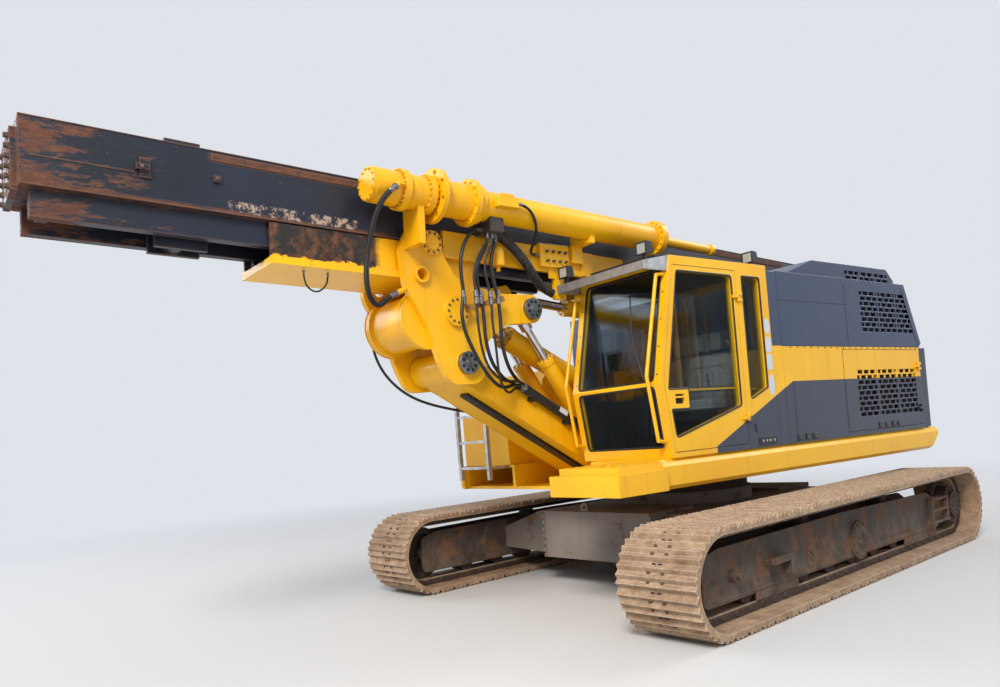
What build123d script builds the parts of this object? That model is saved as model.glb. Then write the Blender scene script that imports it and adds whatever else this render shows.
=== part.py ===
from build123d import *
import os
from math import cos, hypot, pi, radians, sin, tan

# Sheet piling rig on crawler tracks, parked with its leader lowered over the hood.
# All sizes are millimetres. The machine faces -Y, +X is its left side, +Z is up,
# and the origin is on the ground below the slew axis.

# Clearances
PIN_GAP = 0.3          # round a pin or on a wear pad
RUN_GAP = 8.0          # between pieces that move past each other
PANEL_GAP = 6.0        # round a door in its frame
KNUCKLE = 14.0
HINGE_PIN = 7.0

# Undercarriage
SLEW_REST = 3.84       # degrees that the tracks stand turned to the left of the upper machine
TRACK_REACH = 2560.0   # idler and sprocket axes ahead of and behind the slew axis
TRACK_HEIGHT = 855.0
TRACK_OVERALL = 4176.0
SHOE_WIDTH = 700.0
SHOE_COUNT = 65
GROUSER = 28.0
SHOE_PLATE = 40.0
LINK_DEPTH = 72.0
LINK_WIDTH = 260.0
FRAME_WIDTH = 300.0
FRAME_LOW = 215.0
FRAME_HIGH = 580.0
FRAME_CREST = 665.0
FORK_PLATE = 20.0
FORK_FRONT = TRACK_REACH + 40.0
COVER_PLATE = 22.0
ROLLER_RADIUS = 88.0
ROLLER_COUNT = 9
CARRIER_RADIUS = 62.0
CARRIER_COUNT = 2
HUB_RADIUS = 205.0
CARBODY_LOW = 290.0
CARBODY_HIGH = 760.0
CARBODY_HALF = 1560.0
BOX_HALF = 720.0       # half of the width of the box at the front and rear beams
BOX_TOP = 790.0
BEAM_FRONT = 1330.0
BEAM_DEPTH = 460.0
LUG_HOLE = 18.0
LUG_WIDTH = 30.0
LUG_SIDE = 140.0       # from the middle to the hole of a lifting lug
LUG_RISE = 44.0
LUG_HALF = 48.0
RING_RADIUS = 720.0
RING_WALL = 110.0

# Upper machine
DECK_LOW = 1070.0
DECK_HIGH = 1330.0
DECK_PLATE = 30.0
SIDE = 1450.0          # half of the width over the hood and the skirts
SKIRT_WALL = 50.0
DECK_FRONT = 2050.0
DECK_REAR = 2850.0
PLATFORM_FRONT = 2650.0
PLATFORM_INNER = 690.0
PLATFORM_HIGH = 1250.0

# Cab
CAB_INNER = 400.0
CAB_LOW = DECK_HIGH + PIN_GAP
CAB_HIGH = 3100.0
CAB_FRONT = 1900.0
CAB_ROOF_FRONT = 1730.0
CAB_KNEE = (1990.0, 1985.0)
CAB_REAR = 270.0
CAB_WALL = 60.0
VISOR_REACH = 330.0
VISOR_REAR_HIGH = 3098.0
VISOR_FRONT_HIGH = 3035.0
DOOR_REAR = 780.0
DOOR_LOW = 1375.0
DOOR_HIGH = 3020.0
DOOR_RAIL = 68.0
DOOR_PILLAR = 48.0     # between the door and the cab's front edge
DOOR_HINGE_INSET = 250.0
GRIP = (1615.0, 1750.0, 1925.0)    # rear edge, bottom and top of the handle's plate in the door window
GLASS = 8.0

# Hood and counterweight
HOOD_FRONT = 100.0
HOOD_HIGH = 3060.0
HOOD_TOP_REAR = 2600.0
HOOD_SEAM = 2310.0
HOOD_REAR = 2850.0
HOOD_WALL = 40.0
SERVICE_FRONT = 1060.0
SERVICE_REAR = 2790.0
SERVICE_LOW = 1375.0
SERVICE_TOP_GAP = 30.0
SERVICE_HINGE_INSET = 200.0
SLOT = 42.0            # height of a grille's slots
SLOT_WEB = 17.0
LADDER_AHEAD = 200.0
WEIGHT_REAR = 3230.0
TOP_BOX_INNER = 520.0
TOP_BOX_OUTER = 1360.0
TOP_BOX_HIGH = 3250.0
TANK_INNER = 620.0
TANK_OUTER = 1400.0
TANK_FRONT = 2000.0
TANK_HIGH = 2350.0
BOX_REAR = 1450.0
BOX_HIGH = 1880.0

# Boom, in the side view: forward of the slew axis and up from the ground
BOOM_FOOT = (1350.0, 1240.0)
BOOM_HEAD = (3220.0, 2300.0)
BOOM_HALF = 295.0
BOOM_DEPTH = 260.0
BOOM_WALL = 18.0
BOOM_FLOOR = 28.0
BOOM_TUBE = 150.0
BOOM_BOSS = 112.0
PIN = 55.0
FOOT_PLATE = 28.0

# Head with its two cheeks
CHEEK_IN = 315.0
CHEEK_OUT = 380.0
HEAD_TOP = (3500.0, 3330.0)
ARM_PIN = (2420.0, 2800.0)
DRUM_AT = (3540.0, 2700.0)
DRUM_RADIUS = 235.0
COVER_RADIUS = 100.0
COVER = 48.0
LUG_IN = 85.0
LUG = 25.0

# Leader, a box girder that lies almost level with its foot forward
LEADER_PITCH = 2.4
LEADER_TIP = (6540.0, 3930.0)
LEADER_LENGTH = 10560.0
LEADER_HALF = 300.0
LEADER_DEPTH = 450.0
LEADER_WALL = 14.0
LEADER_END = 45.0
RAIL_IN = 170.0
RAIL_OUT = 250.0
RAIL_DEPTH = 190.0
RAIL_LENGTH = 4700.0
CRADLE_FRONT = 1660.0  # along the leader from its tip
CRADLE_REAR = 3600.0
CRADLE_PLATE = 60.0
ARM_END = 5500.0
ARM_WALL = 37.0
ARM_LOW = -570.0       # from the leader's top face
ARM_HIGH = -330.0
ARM_FACE = LEADER_HALF + RUN_GAP + ARM_WALL
NOSE = 42.0

# Drive unit beside the leader
DRIVE_SIDE = 545.0
DRIVE_DROP = 130.0     # below the leader's top face
DRIVE_DISC = 225.0
TUBE_RADIUS = 130.0
FRONT_POST = 2800.0
REAR_POST = 4760.0
POST = 60.0

# Cylinders, each from its foot pin to the pin on the head
ROD_START = 165.0      # from the foot pin to the piston end of a rod
TILT_SIDE = 187.0
TILT_BARREL = 78.0
TILT_ROD = 36.0
TILT_SHOWN = 538.0
TILT_EYE = 68.0
PUSH_FOOT = (750.0, 1780.0)
PUSH_EYE = (2700.0, 2720.0)
PUSH_BARREL = 112.0
PUSH_ROD = 52.0
PUSH_SHOWN = 280.0
NECK_FOOT = (220.0, 2770.0)
NECK_EYE = (2480.0, 3000.0)
NECK_BARREL = 82.0
NECK_ROD = 45.0
NECK_SHOWN = 850.0
EYE_RADIUS = 72.0
EYE_HALF = 62.0
TOWER_IN = 75.0
TOWER_PLATE = 30.0
SHANK = 190.0          # thick end of a rod behind its eye

# Hoses: x, forward, up of the points of each route, and the diameter
SLEEVE_RADIUS = 42.0
BOOM_SLEEVE_SIDE = 345.0
SLEEVE_OFFSET = 128.0
SLEEVE_END = 1445.0
HOSES = {
    "hose_sleeve": (84.0, (
        (326, 2075, 2975), (326, 2210, 3025), (375, 2330, 3095), (418, 2450, 3205), (430, 2580, 3320),
        (440, 2710, 3405), (440, 2850, 3470))),
    "hose_outer": (32.0, (
        (500, 3020.1, 3455), (500, 3095, 3455), (506, 3185, 3390), (508, 3255, 3285), (504, 3290, 3160),
        (500, 3290, 3020), (500, 3275, 2880), (506, 3325, 2730), (510, 3315, 2580), (508, 3250, 2430),
        (504, 3170, 2290), (490, 3075, 2170), (465, 2960, 2088), (430, 2850, 2068), (395, 2740, 2092),
        (366, 2628, 2098.9), (366, 2549.7, 2054.5))),
    "hose_middle": (32.0, (
        (500, 2975, 3419.9), (500, 2975, 3350), (500, 3020, 3270), (500, 3085, 3180), (500, 3125, 3070),
        (500, 3120, 2950), (500, 3090, 2830), (502, 3080, 2690), (504, 3088, 2550), (500, 3070, 2410),
        (490, 3020, 2280), (470, 2930, 2190), (425, 2830, 2138), (370, 2725, 2128), (324, 2628, 2098.9),
        (324, 2549.7, 2054.5))),
    "hose_inner": (32.0, (
        (520, 2900, 3419.9), (520, 2900, 3350), (516, 2935, 3260), (510, 2965, 3150), (504, 2945, 3020),
        (500, 2910, 2890), (500, 2895, 2750), (502, 2900, 2610), (502, 2905, 2470), (495, 2875, 2340),
        (450, 2800, 2240), (395, 2705, 2175), (345, 2610.7, 2129.3), (345, 2532.4, 2084.9))),
    "hose_ribbed": (38.0, (
        (705, 4004.1, 3656.9), (705, 4076, 3603), (700, 4155, 3510), (685, 4215, 3390), (665, 4255, 3250),
        (640, 4280, 3100), (600, 4280, 2950), (545, 4240, 2830), (480, 4160, 2770), (415, 4070, 2768),
        (365, 3995, 2812), (347, 3923, 2862.5), (347, 3850.1, 2894.9))),
}


def block(x_low, x_high, back, front, low, high):
    """Box between two X values, two distances ahead of the slew axis and two heights."""
    size = Box(x_high - x_low, front - back, high - low, align=(Align.MIN, Align.MIN, Align.MIN))
    return Pos(x_low, -front, low) * size


def side_profile(points, x_low, x_high):
    """Plate whose outline is given as (forward, up) points, between two X values."""
    outline = Polyline([(x_low, -forward, up) for forward, up in points], close=True)
    return extrude(make_face(outline), amount=x_high - x_low, dir=(1, 0, 0))


def rounded_plate(points, x_low, x_high):
    """Plate whose outline is given as (forward, up, corner radius) points, between two X values."""
    places = [Vector(x_low, -forward, up) for forward, up, radius in points]
    corners = []
    for number, (forward, up, radius) in enumerate(points):
        here = places[number]
        back = (places[number - 1] - here).normalized()
        ahead = (places[(number + 1) % len(places)] - here).normalized()
        half = radians(back.get_angle(ahead)) / 2
        reach = radius / tan(half)
        inward = (back + ahead).normalized()
        middle = here + inward * (radius / sin(half) - radius)
        corners.append((here + back * reach, middle, here + ahead * reach))
    edges = []
    for number, (start, middle, end) in enumerate(corners):
        if points[number][2] > 0:
            edges.append(ThreePointArc(start, middle, end))
        edges.append(Line(end, corners[(number + 1) % len(corners)][0]))
    return extrude(make_face(edges), amount=x_high - x_low, dir=(1, 0, 0))


def front_profile(points, back, front):
    """Solid whose outline is given as (x, up) points, between two distances forward."""
    outline = Polyline([(x, -front, up) for x, up in points], close=True)
    return extrude(make_face(outline), amount=front - back, dir=(0, 1, 0))


def plan_profile(points, low, high):
    """Solid whose outline is given as (x, forward) points, between two heights."""
    outline = Polyline([(x, -forward, low) for x, forward in points], close=True)
    return extrude(make_face(outline), amount=high - low, dir=(0, 0, 1))


def cross_rod(place, radius, x_low, x_high):
    """Round bar across the machine at a (forward, up) place."""
    bar = Rot(0, 90, 0) * Cylinder(radius, x_high - x_low, align=(Align.CENTER, Align.CENTER, Align.MIN))
    return Pos(x_low, -place[0], place[1]) * bar


def bar_between(x, start, end, radius):
    """Round bar at one X between two (forward, up) places."""
    origin = Vector(x, -start[0], start[1])
    reach = Vector(x, -end[0], end[1]) - origin
    return Solid.make_cylinder(radius, reach.length, Plane(origin=origin, z_dir=reach))


def pipe(points, radius):
    """Bent rail of straight runs with mitred corners through (x, forward, up) points."""
    path = Polyline([(x, -forward, up) for x, forward, up in points])
    section = Plane(origin=path @ 0, z_dir=path % 0) * Circle(radius)
    return sweep(section, path=path, transition=Transition.RIGHT)


def hose(points, radius):
    """Hose along straight runs joined by arcs, each as large as its two runs allow."""
    places = [Vector(x, -forward, up) for x, forward, up in points]
    radii = []
    for number in range(1, len(places) - 1):
        before = places[number] - places[number - 1]
        after = places[number + 1] - places[number]
        turn = radians(before.get_angle(after))
        radii.append(0.45 * min(before.length, after.length) / tan(turn / 2))
    path = FilletPolyline(places, radius=radii)
    section = Plane(origin=path @ 0, z_dir=path % 0) * Circle(radius)
    tube = sweep(section, path=path)
    return tube, radii, path.length


def along(start, end, distance):
    """Point at a distance from start towards end, both (forward, up)."""
    reach = hypot(end[0] - start[0], end[1] - start[1])
    share = distance / reach
    return (start[0] + (end[0] - start[0]) * share, start[1] + (end[1] - start[1]) * share)


def beside(start, end, distance, offset):
    """Point along start to end, moved square to that line towards its upper side."""
    reach = hypot(end[0] - start[0], end[1] - start[1])
    unit = ((end[0] - start[0]) / reach, (end[1] - start[1]) / reach)
    on_line = along(start, end, distance)
    return (on_line[0] - unit[1] * offset, on_line[1] + unit[0] * offset)


def hinge_fixed(wall, forward, up, side):
    """Pin with two knuckles on a wall whose outer face is at X = wall, with the leaf ahead of it."""
    x = wall + side * KNUCKLE
    fixed = Pos(x, -forward, up) * Cylinder(HINGE_PIN, 90)
    for end in (-1, 1):
        fixed += Pos(x, -forward, up + end * 30) * Cylinder(KNUCKLE, 30)
        low = min(wall + side * 0.1, x)
        fixed += block(low, low + KNUCKLE - 0.1, forward - 70, forward, up + end * 30 - 15, up + end * 30 + 15)
    return fixed


def hinge_moving(wall, forward, up, side):
    """Middle knuckle of a hinge with its strap on the leaf."""
    x = wall + side * KNUCKLE
    moving = Pos(x, -forward, up) * Cylinder(KNUCKLE, 30 - 2 * PIN_GAP)
    low = min(wall, x)
    moving += block(low, low + KNUCKLE, forward + PANEL_GAP, forward + 80, up - 14, up + 14)
    moving += block(min(x, x + side * KNUCKLE), max(x, x + side * KNUCKLE), forward, forward + 80, up - 14, up + 14)
    return moving - Pos(x, -forward, up) * Cylinder(HINGE_PIN + 0.08, 32)


def turned(solid):
    """Undercarriage pieces stand turned under the upper machine."""
    return Rot(0, 0, SLEW_REST) * solid


# Undercarriage
TRACK_CENTRE = (TRACK_OVERALL - SHOE_WIDTH) / 2
AXLE_HEIGHT = TRACK_HEIGHT / 2
PLATE_RADIUS = AXLE_HEIGHT - GROUSER
INNER_RADIUS = PLATE_RADIUS - SHOE_PLATE - LINK_DEPTH


def loop_point(distance, radius):
    """Point of a track loop at a share of its length, as (forward, up) at a radius from the axles."""
    straight = 2 * TRACK_REACH
    bend = pi * (AXLE_HEIGHT - GROUSER - SHOE_PLATE)
    total = 2 * (straight + bend)
    run = distance % total
    if run < straight:
        return (TRACK_REACH - run, AXLE_HEIGHT + radius)
    if run < straight + bend:
        angle = pi * (run - straight) / bend
        return (-TRACK_REACH - radius * sin(angle), AXLE_HEIGHT + radius * cos(angle))
    if run < 2 * straight + bend:
        return (-TRACK_REACH + run - straight - bend, AXLE_HEIGHT - radius)
    angle = pi * (run - 2 * straight - bend) / bend
    return (TRACK_REACH + radius * sin(angle), AXLE_HEIGHT - radius * cos(angle))


def make_track(side):
    """One crawler track as a closed loop, its triple grousers cut into the outer outline."""
    length = 2 * (2 * TRACK_REACH + pi * (AXLE_HEIGHT - GROUSER - SHOE_PLATE))
    pitch = length / SHOE_COUNT
    # share of the shoe's pitch, radius
    shoe = (
        (0.00, PLATE_RADIUS - 14),
        (0.06, PLATE_RADIUS),
        (0.16, AXLE_HEIGHT),
        (0.30, PLATE_RADIUS),
        (0.46, AXLE_HEIGHT),
        (0.62, PLATE_RADIUS),
        (0.78, AXLE_HEIGHT),
        (0.92, PLATE_RADIUS),
    )
    outer = []
    for number in range(SHOE_COUNT):
        for share, radius in shoe:
            outer.append(loop_point((number + share) * pitch, radius))
    centre = side * TRACK_CENTRE
    half = SHOE_WIDTH / 2
    plate_inner = PLATE_RADIUS - SHOE_PLATE
    shoes = side_profile(outer, centre - half, centre + half)
    shoes -= loop_core(plate_inner, centre - half, centre + half)
    half = LINK_WIDTH / 2
    links = loop_core(plate_inner, centre - half, centre + half)
    links -= loop_core(INNER_RADIUS, centre - half, centre + half)
    return turned(shoes + links)


def loop_core(radius, x_low, x_high):
    """Solid between the two axles with round ends, at a radius from them."""
    core = block(x_low, x_high, -TRACK_REACH, TRACK_REACH, AXLE_HEIGHT - radius, AXLE_HEIGHT + radius)
    core += cross_rod((TRACK_REACH, AXLE_HEIGHT), radius, x_low, x_high)
    core += cross_rod((-TRACK_REACH, AXLE_HEIGHT), radius, x_low, x_high)
    return core


def make_track_frame(side):
    """Side frame that carries the rollers, with the idler's fork, its covers and steps."""
    half = FRAME_WIDTH / 2
    low = FRAME_LOW
    centre = side * TRACK_CENTRE
    box = [
        (TRACK_REACH - 330, low, 20),
        (TRACK_REACH - 330, FRAME_HIGH - 40, 60),
        (1500, FRAME_HIGH, 200),
        (-1500, FRAME_HIGH, 200),
        (430 - TRACK_REACH, FRAME_HIGH - 50, 60),
        (430 - TRACK_REACH, low, 60),
    ]
    frame = rounded_plate(box, centre - half, centre + half)
    fork = [
        (FORK_FRONT, low, 60),
        (FORK_FRONT, 600, 90),
        (FORK_FRONT - 240, 645, 120),
        (200, FRAME_CREST, 300),
        (710 - TRACK_REACH, 630, 120),
        (550 - TRACK_REACH, 560, 40),
        (550 - TRACK_REACH, low, 40),
    ]
    for edge in (-1, 1):
        outer = centre + edge * (half + 4)
        inner = centre + edge * (half + 4 - FORK_PLATE)
        frame += rounded_plate(fork, min(inner, outer), max(inner, outer))
    face = centre + side * (half + 4)
    adjuster = TRACK_REACH - 355
    # forward, up, radius, thickness of the round covers on the outer face
    for forward, up, radius, thick in (
            (-60, 365, 185, COVER_PLATE), (-60, 365, 150, COVER_PLATE + 8),
            (adjuster, 415, 48, 55), (adjuster, 415, 26, 90)):
        frame += cross_rod((forward, up), radius, min(face, face + side * thick), max(face, face + side * thick))
    oval = [(870, 270, 50), (870, 470, 50), (975, 470, 50), (975, 270, 50)]
    frame += rounded_plate(oval, min(face, face + side * 12), max(face, face + side * 12))
    step = [(1350, 290, 15), (1340, 470, 30), (1725, 460, 12), (1710, 410, 12), (1410, 415, 12), (1405, 290, 15)]
    frame += rounded_plate(step, min(face, face + side * 85), max(face, face + side * 85))
    step_front = 730 - TRACK_REACH
    step_rear = 290 - TRACK_REACH
    for forward in (step_front, step_rear):
        frame += block(min(face, face + side * 70), max(face, face + side * 70), forward - 12, forward + 12, 270, 560)
    for up in (290, 420, 545):
        frame += cross_bar(face + side * 58, step_rear, step_front, up)
    bearing = centre - side * half
    frame += block(
        min(bearing, bearing + side * 60), max(bearing, bearing + side * 60),
        -TRACK_REACH - 60, 440 - TRACK_REACH, AXLE_HEIGHT - 80, AXLE_HEIGHT + 80)
    plate = face - side * FORK_PLATE
    frame += block(min(plate, face), max(plate, face), 230 - TRACK_REACH, 560 - TRACK_REACH, 270, 560)
    return turned(frame)


def cross_bar(x, back, front, up):
    """Short round bar along the machine."""
    return bar_between(x, (back, up), (front, up), 13)


def make_idlers():
    """Front wheels with a raised rim on each side of the chain, on an axle in the fork."""
    solids = []
    reach = FRAME_WIDTH / 2 + 4 - FORK_PLATE - 0.1
    for side in (1, -1):
        centre = side * TRACK_CENTRE
        place = (TRACK_REACH, AXLE_HEIGHT)
        wheel = cross_rod(place, INNER_RADIUS - 0.5, centre - 70, centre + 70)
        wheel -= cross_rod(place, INNER_RADIUS - 70, centre + 30, centre + 71)
        wheel -= cross_rod(place, INNER_RADIUS - 70, centre - 71, centre - 30)
        wheel += cross_rod(place, 70, centre - reach, centre + reach)
        solids.append(turned(wheel))
    return Compound(children=solids)


def make_final_drives():
    """Rear sprockets, each on its round gearbox that stands out on both sides."""
    teeth = 21
    solids = []
    for side in (1, -1):
        centre = side * TRACK_CENTRE
        place = (-TRACK_REACH, AXLE_HEIGHT)
        rim = cross_rod(place, INNER_RADIUS - 45, centre - 35, centre + 35)
        root = INNER_RADIUS - 50
        tip = INNER_RADIUS - 0.5
        for number in range(teeth):
            middle = 2 * pi * number / teeth
            step = 2 * pi / teeth
            tooth = []
            for share, radius in ((-0.34, root), (-0.14, tip), (0.14, tip), (0.34, root)):
                angle = middle + share * step
                tooth.append((place[0] + radius * sin(angle), place[1] + radius * cos(angle)))
            rim += side_profile(tooth, centre - 35, centre + 35)
        outer = centre + side * 35
        hub = cross_rod(place, HUB_RADIUS, min(outer, outer + side * 120), max(outer, outer + side * 120))
        cap = cross_rod(place, HUB_RADIUS - 60, min(outer, outer + side * 165), max(outer, outer + side * 165))
        inner = centre - side * 35
        motor = cross_rod(place, 150, min(inner, inner - side * 55), max(inner, inner - side * 55))
        solids.append(turned(rim + hub + cap + motor))
    return Compound(children=solids)


def make_bottom_rollers():
    """Rollers on the chain's lower run, under both frames."""
    solids = []
    span = 2 * (TRACK_REACH - 620)
    low_run = AXLE_HEIGHT - INNER_RADIUS
    for side in (1, -1):
        for number in range(ROLLER_COUNT):
            forward = -span / 2 + span * number / (ROLLER_COUNT - 1)
            centre = side * TRACK_CENTRE
            place = (forward, low_run + ROLLER_RADIUS + 0.3)
            wheel = cross_rod(place, ROLLER_RADIUS, centre - 110, centre + 110)
            wheel -= block(centre - 120, centre + 120, forward - 120, forward + 120, FRAME_LOW - PIN_GAP, FRAME_LOW + 400)
            solids.append(turned(wheel))
    return Compound(children=solids)


def make_carrier_rollers():
    """Small rollers on posts that hold up the chain's upper run."""
    solids = []
    top_run = AXLE_HEIGHT + INNER_RADIUS
    for side in (1, -1):
        for number in range(CARRIER_COUNT):
            forward = 800 - 1700 * number
            centre = side * TRACK_CENTRE
            place = (forward, top_run - CARRIER_RADIUS - 0.3)
            wheel = cross_rod(place, CARRIER_RADIUS, centre - 80, centre + 80)
            post = block(centre - 30, centre + 30, forward - 40, forward + 40, FRAME_HIGH + 0.1, place[1])
            solids.append(turned(wheel + post))
    return Compound(children=solids)


def make_carbody():
    """Centre body with its beams, the lifting lugs on them and the drum under the slew ring."""
    inner = TRACK_CENTRE - FRAME_WIDTH / 2 - 4
    rear = BEAM_FRONT - BEAM_DEPTH
    body = block(-950, 950, -rear - 1, rear + 1, CARBODY_LOW + 20, CARBODY_HIGH)
    for end in (1, -1):
        leg = [
            (-inner, 320), (-900, CARBODY_LOW), (900, CARBODY_LOW), (inner, 320),
            (inner, 560), (980, CARBODY_HIGH), (-980, CARBODY_HIGH), (-inner, 560)]
        body += front_profile(leg, min(end * rear, end * BEAM_FRONT), max(end * rear, end * BEAM_FRONT))
        near = min(end * rear, end * CARBODY_HALF)
        body += block(-BOX_HALF, BOX_HALF, near, near + CARBODY_HALF - rear, CARBODY_LOW, BOX_TOP)
        for x in (-BOX_HALF, BOX_HALF - 26):
            near = min(end * CARBODY_HALF, end * (CARBODY_HALF + 14))
            body += block(x, x + 26, near, near + 14, CARBODY_LOW, BOX_TOP)
        up = BOX_TOP + LUG_RISE
        lug = [
            (-LUG_SIDE - LUG_HALF, BOX_TOP), (-LUG_SIDE - LUG_HALF, up + 12), (-LUG_SIDE - 20, up + LUG_HALF),
            (-LUG_SIDE + 20, up + LUG_HALF), (-LUG_SIDE + LUG_HALF, up + 12), (-LUG_SIDE + LUG_HALF, BOX_TOP)]
        near = end * (CARBODY_HALF - 30)
        body += front_profile(lug, min(near, near - end * LUG_WIDTH), max(near, near - end * LUG_WIDTH))
        hole = Rot(90, 0, 0) * Cylinder(LUG_HOLE, LUG_WIDTH + 2)
        body -= Pos(-LUG_SIDE, -(near - end * LUG_WIDTH / 2), up) * hole
    drum = Pos(0, 0, CARBODY_HIGH) * Cylinder(RING_RADIUS + 40, 130, align=(Align.CENTER, Align.CENTER, Align.MIN))
    return turned(body + drum)


def make_slew_ring():
    """Ring bearing between the centre body and the deck."""
    low = CARBODY_HIGH + 130
    high = DECK_LOW - PIN_GAP
    ring = Cylinder(RING_RADIUS, high - low, align=(Align.CENTER, Align.CENTER, Align.MIN))
    ring -= Cylinder(RING_RADIUS - RING_WALL, high - low, align=(Align.CENTER, Align.CENTER, Align.MIN))
    return Pos(0, 0, low) * ring


# Upper machine
BRACKET_IN = BOOM_HALF + RUN_GAP
BRACKET_OUT = BRACKET_IN + FOOT_PLATE
BAY_HALF = 560.0
BAY_REAR = 850.0


def make_main_frame():
    """Deck with its long beams and top plates, open in front where the boom's foot stands."""
    floor = DECK_LOW + DECK_PLATE
    roof = DECK_HIGH - DECK_PLATE
    inner = SIDE - SKIRT_WALL
    front = DECK_FRONT - 60
    frame = block(-inner, inner, -DECK_REAR, front, DECK_LOW, floor)
    for side in (1, -1):
        low = min(side * BAY_HALF, side * inner)
        high = max(side * BAY_HALF, side * inner)
        frame += block(low, high, -DECK_REAR, front, roof, DECK_HIGH)
        low = min(side * BAY_HALF, side * (BAY_HALF + 40))
        frame += block(low, low + 40, -DECK_REAR, front, floor, roof)
        low = min(side * (inner - 20), side * inner)
        frame += block(low, low + 20, -DECK_REAR, front, floor, roof)
    frame += block(-BAY_HALF, BAY_HALF, -DECK_REAR, BAY_REAR, roof, DECK_HIGH)
    frame += block(-BAY_HALF, BAY_HALF, BAY_REAR - 30, BAY_REAR, floor, roof)
    outline = [
        (BOOM_FOOT[0] + 260, floor),
        (BOOM_FOOT[0] + 120, BOOM_FOOT[1] + 90),
        (BOOM_FOOT[0] + 40, BOOM_FOOT[1] + 140),
        (BOOM_FOOT[0] - 90, BOOM_FOOT[1] + 120),
        (BAY_REAR - 20, DECK_HIGH),
        (BAY_REAR - 20, floor),
    ]
    for side in (1, -1):
        low = min(side * BRACKET_IN, side * BRACKET_OUT)
        frame += side_profile(outline, low, low + FOOT_PLATE)
    frame += cross_rod(BOOM_FOOT, PIN, -BRACKET_OUT - 14, BRACKET_OUT + 14)
    return frame


def make_cylinder_tower():
    """Two plates on the deck that hold the feet of the push and neck cylinders."""
    outline = [
        (HOOD_FRONT + 20, DECK_HIGH + 0.1),
        (HOOD_FRONT + 20, NECK_FOOT[1] + 60),
        (NECK_FOOT[0], NECK_FOOT[1] + 90),
        (NECK_FOOT[0] + 90, NECK_FOOT[1] + 40),
        (NECK_FOOT[0] + 120, NECK_FOOT[1] - 300),
        (PUSH_FOOT[0] - 100, PUSH_FOOT[1] + 110),
        (PUSH_FOOT[0] + 50, PUSH_FOOT[1] + 90),
        (PUSH_FOOT[0] + 90, PUSH_FOOT[1]),
        (PUSH_FOOT[0] + 60, PUSH_FOOT[1] - 120),
        (BAY_REAR - 40, DECK_HIGH + 0.1),
    ]
    tower = None
    for side in (1, -1):
        low = min(side * TOWER_IN, side * (TOWER_IN + TOWER_PLATE))
        plate = side_profile(outline, low, low + TOWER_PLATE)
        tower = plate if tower is None else tower + plate
    half = TOWER_IN + TOWER_PLATE
    tower += block(-half, half, HOOD_FRONT + 20, HOOD_FRONT + 40, DECK_HIGH + 0.1, NECK_FOOT[1] - 140)
    tower += cross_rod(NECK_FOOT, PIN - 15, -half - 12, half + 12)
    tower += cross_rod(PUSH_FOOT, PIN - 5, -half - 12, half + 12)
    return tower


def make_skirts():
    """Side skirts along the deck's edges, with a bevel on top, a bent foot and a tapered rear end."""
    inner = SIDE - SKIRT_WALL
    outline = [
        (inner, DECK_LOW), (SIDE - 22, DECK_LOW), (SIDE + 8, DECK_LOW + 34), (SIDE + 8, DECK_HIGH - 62),
        (SIDE - 30, DECK_HIGH), (inner, DECK_HIGH)]
    skirts = []
    for side in (1, -1):
        skirt = front_profile([(side * x, up) for x, up in outline], -WEIGHT_REAR + 60, DECK_FRONT)
        low = min(side * (inner - 1), side * (SIDE + 20))
        corner = [
            (59 - WEIGHT_REAR, DECK_LOW - 1), (-DECK_REAR - 110, DECK_LOW - 1), (59 - WEIGHT_REAR, DECK_HIGH - 90)]
        skirt -= side_profile(corner, low, low + SKIRT_WALL + 21)
        skirts.append(skirt)
    return Compound(children=skirts)


def make_front_platform():
    """Step platform ahead of the cab, with its raised tread."""
    front = block(PLATFORM_INNER, SIDE + 50, DECK_FRONT + 0.1, PLATFORM_FRONT, DECK_LOW, PLATFORM_HIGH)
    tread = block(PLATFORM_INNER + 60, SIDE, DECK_FRONT + 0.1, PLATFORM_FRONT - 70, PLATFORM_HIGH, PLATFORM_HIGH + 60)
    filler = block(PLATFORM_INNER, SIDE - SKIRT_WALL - 0.1, DECK_FRONT - 59.9, DECK_FRONT + 0.2, DECK_LOW, PLATFORM_HIGH)
    return front + tread + filler


def make_side_boxes():
    """Tool box at the front of the right deck."""
    return block(-TANK_OUTER, -TANK_INNER, BOX_REAR, TANK_FRONT, DECK_HIGH + 0.1, BOX_HIGH)


def make_side_tank():
    """Tank between the tool box and the hood."""
    outline = [
        (BOX_REAR - 12, DECK_HIGH + 0.1),
        (BOX_REAR - 12, TANK_HIGH - 120),
        (BOX_REAR - 132, TANK_HIGH),
        (HOOD_FRONT + 20, TANK_HIGH),
        (HOOD_FRONT + 20, DECK_HIGH + 0.1),
    ]
    tank = side_profile(outline, -TANK_OUTER, -TANK_INNER)
    core = block(-TANK_OUTER + 12, -TANK_INNER - 12, HOOD_FRONT + 32, BOX_REAR - 150, DECK_HIGH + 12, TANK_HIGH - 130)
    return tank - core


def make_ladder():
    """Two rails and three rungs ahead of the right deck."""
    forward = DECK_FRONT + LADDER_AHEAD
    low = 1190
    high = 2050
    ladder = None
    for x in (-1160, -660):
        rail = block(x - 20, x + 20, forward - 20, forward + 20, low, high)
        ladder = rail if ladder is None else ladder + rail
        ladder += block(x - 20, x + 20, DECK_FRONT - 60 + 0.1, forward, DECK_HIGH - DECK_PLATE, DECK_HIGH)
    for number in range(3):
        up = low + 130 + 280 * number
        ladder += block(-1160, -660, forward - 16, forward + 16, up - 14, up + 14)
    return ladder


def cab_outline(inset):
    """Side outline of the cab with its knee in front, moved in by its wall."""
    low = CAB_LOW + inset
    high = CAB_HIGH - inset
    return [
        (CAB_REAR + inset, low),
        (front_at(low, inset), low),
        (CAB_KNEE[0] - inset, CAB_KNEE[1]),
        (front_at(high, inset), high),
        (CAB_REAR + inset, high),
    ]


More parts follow.
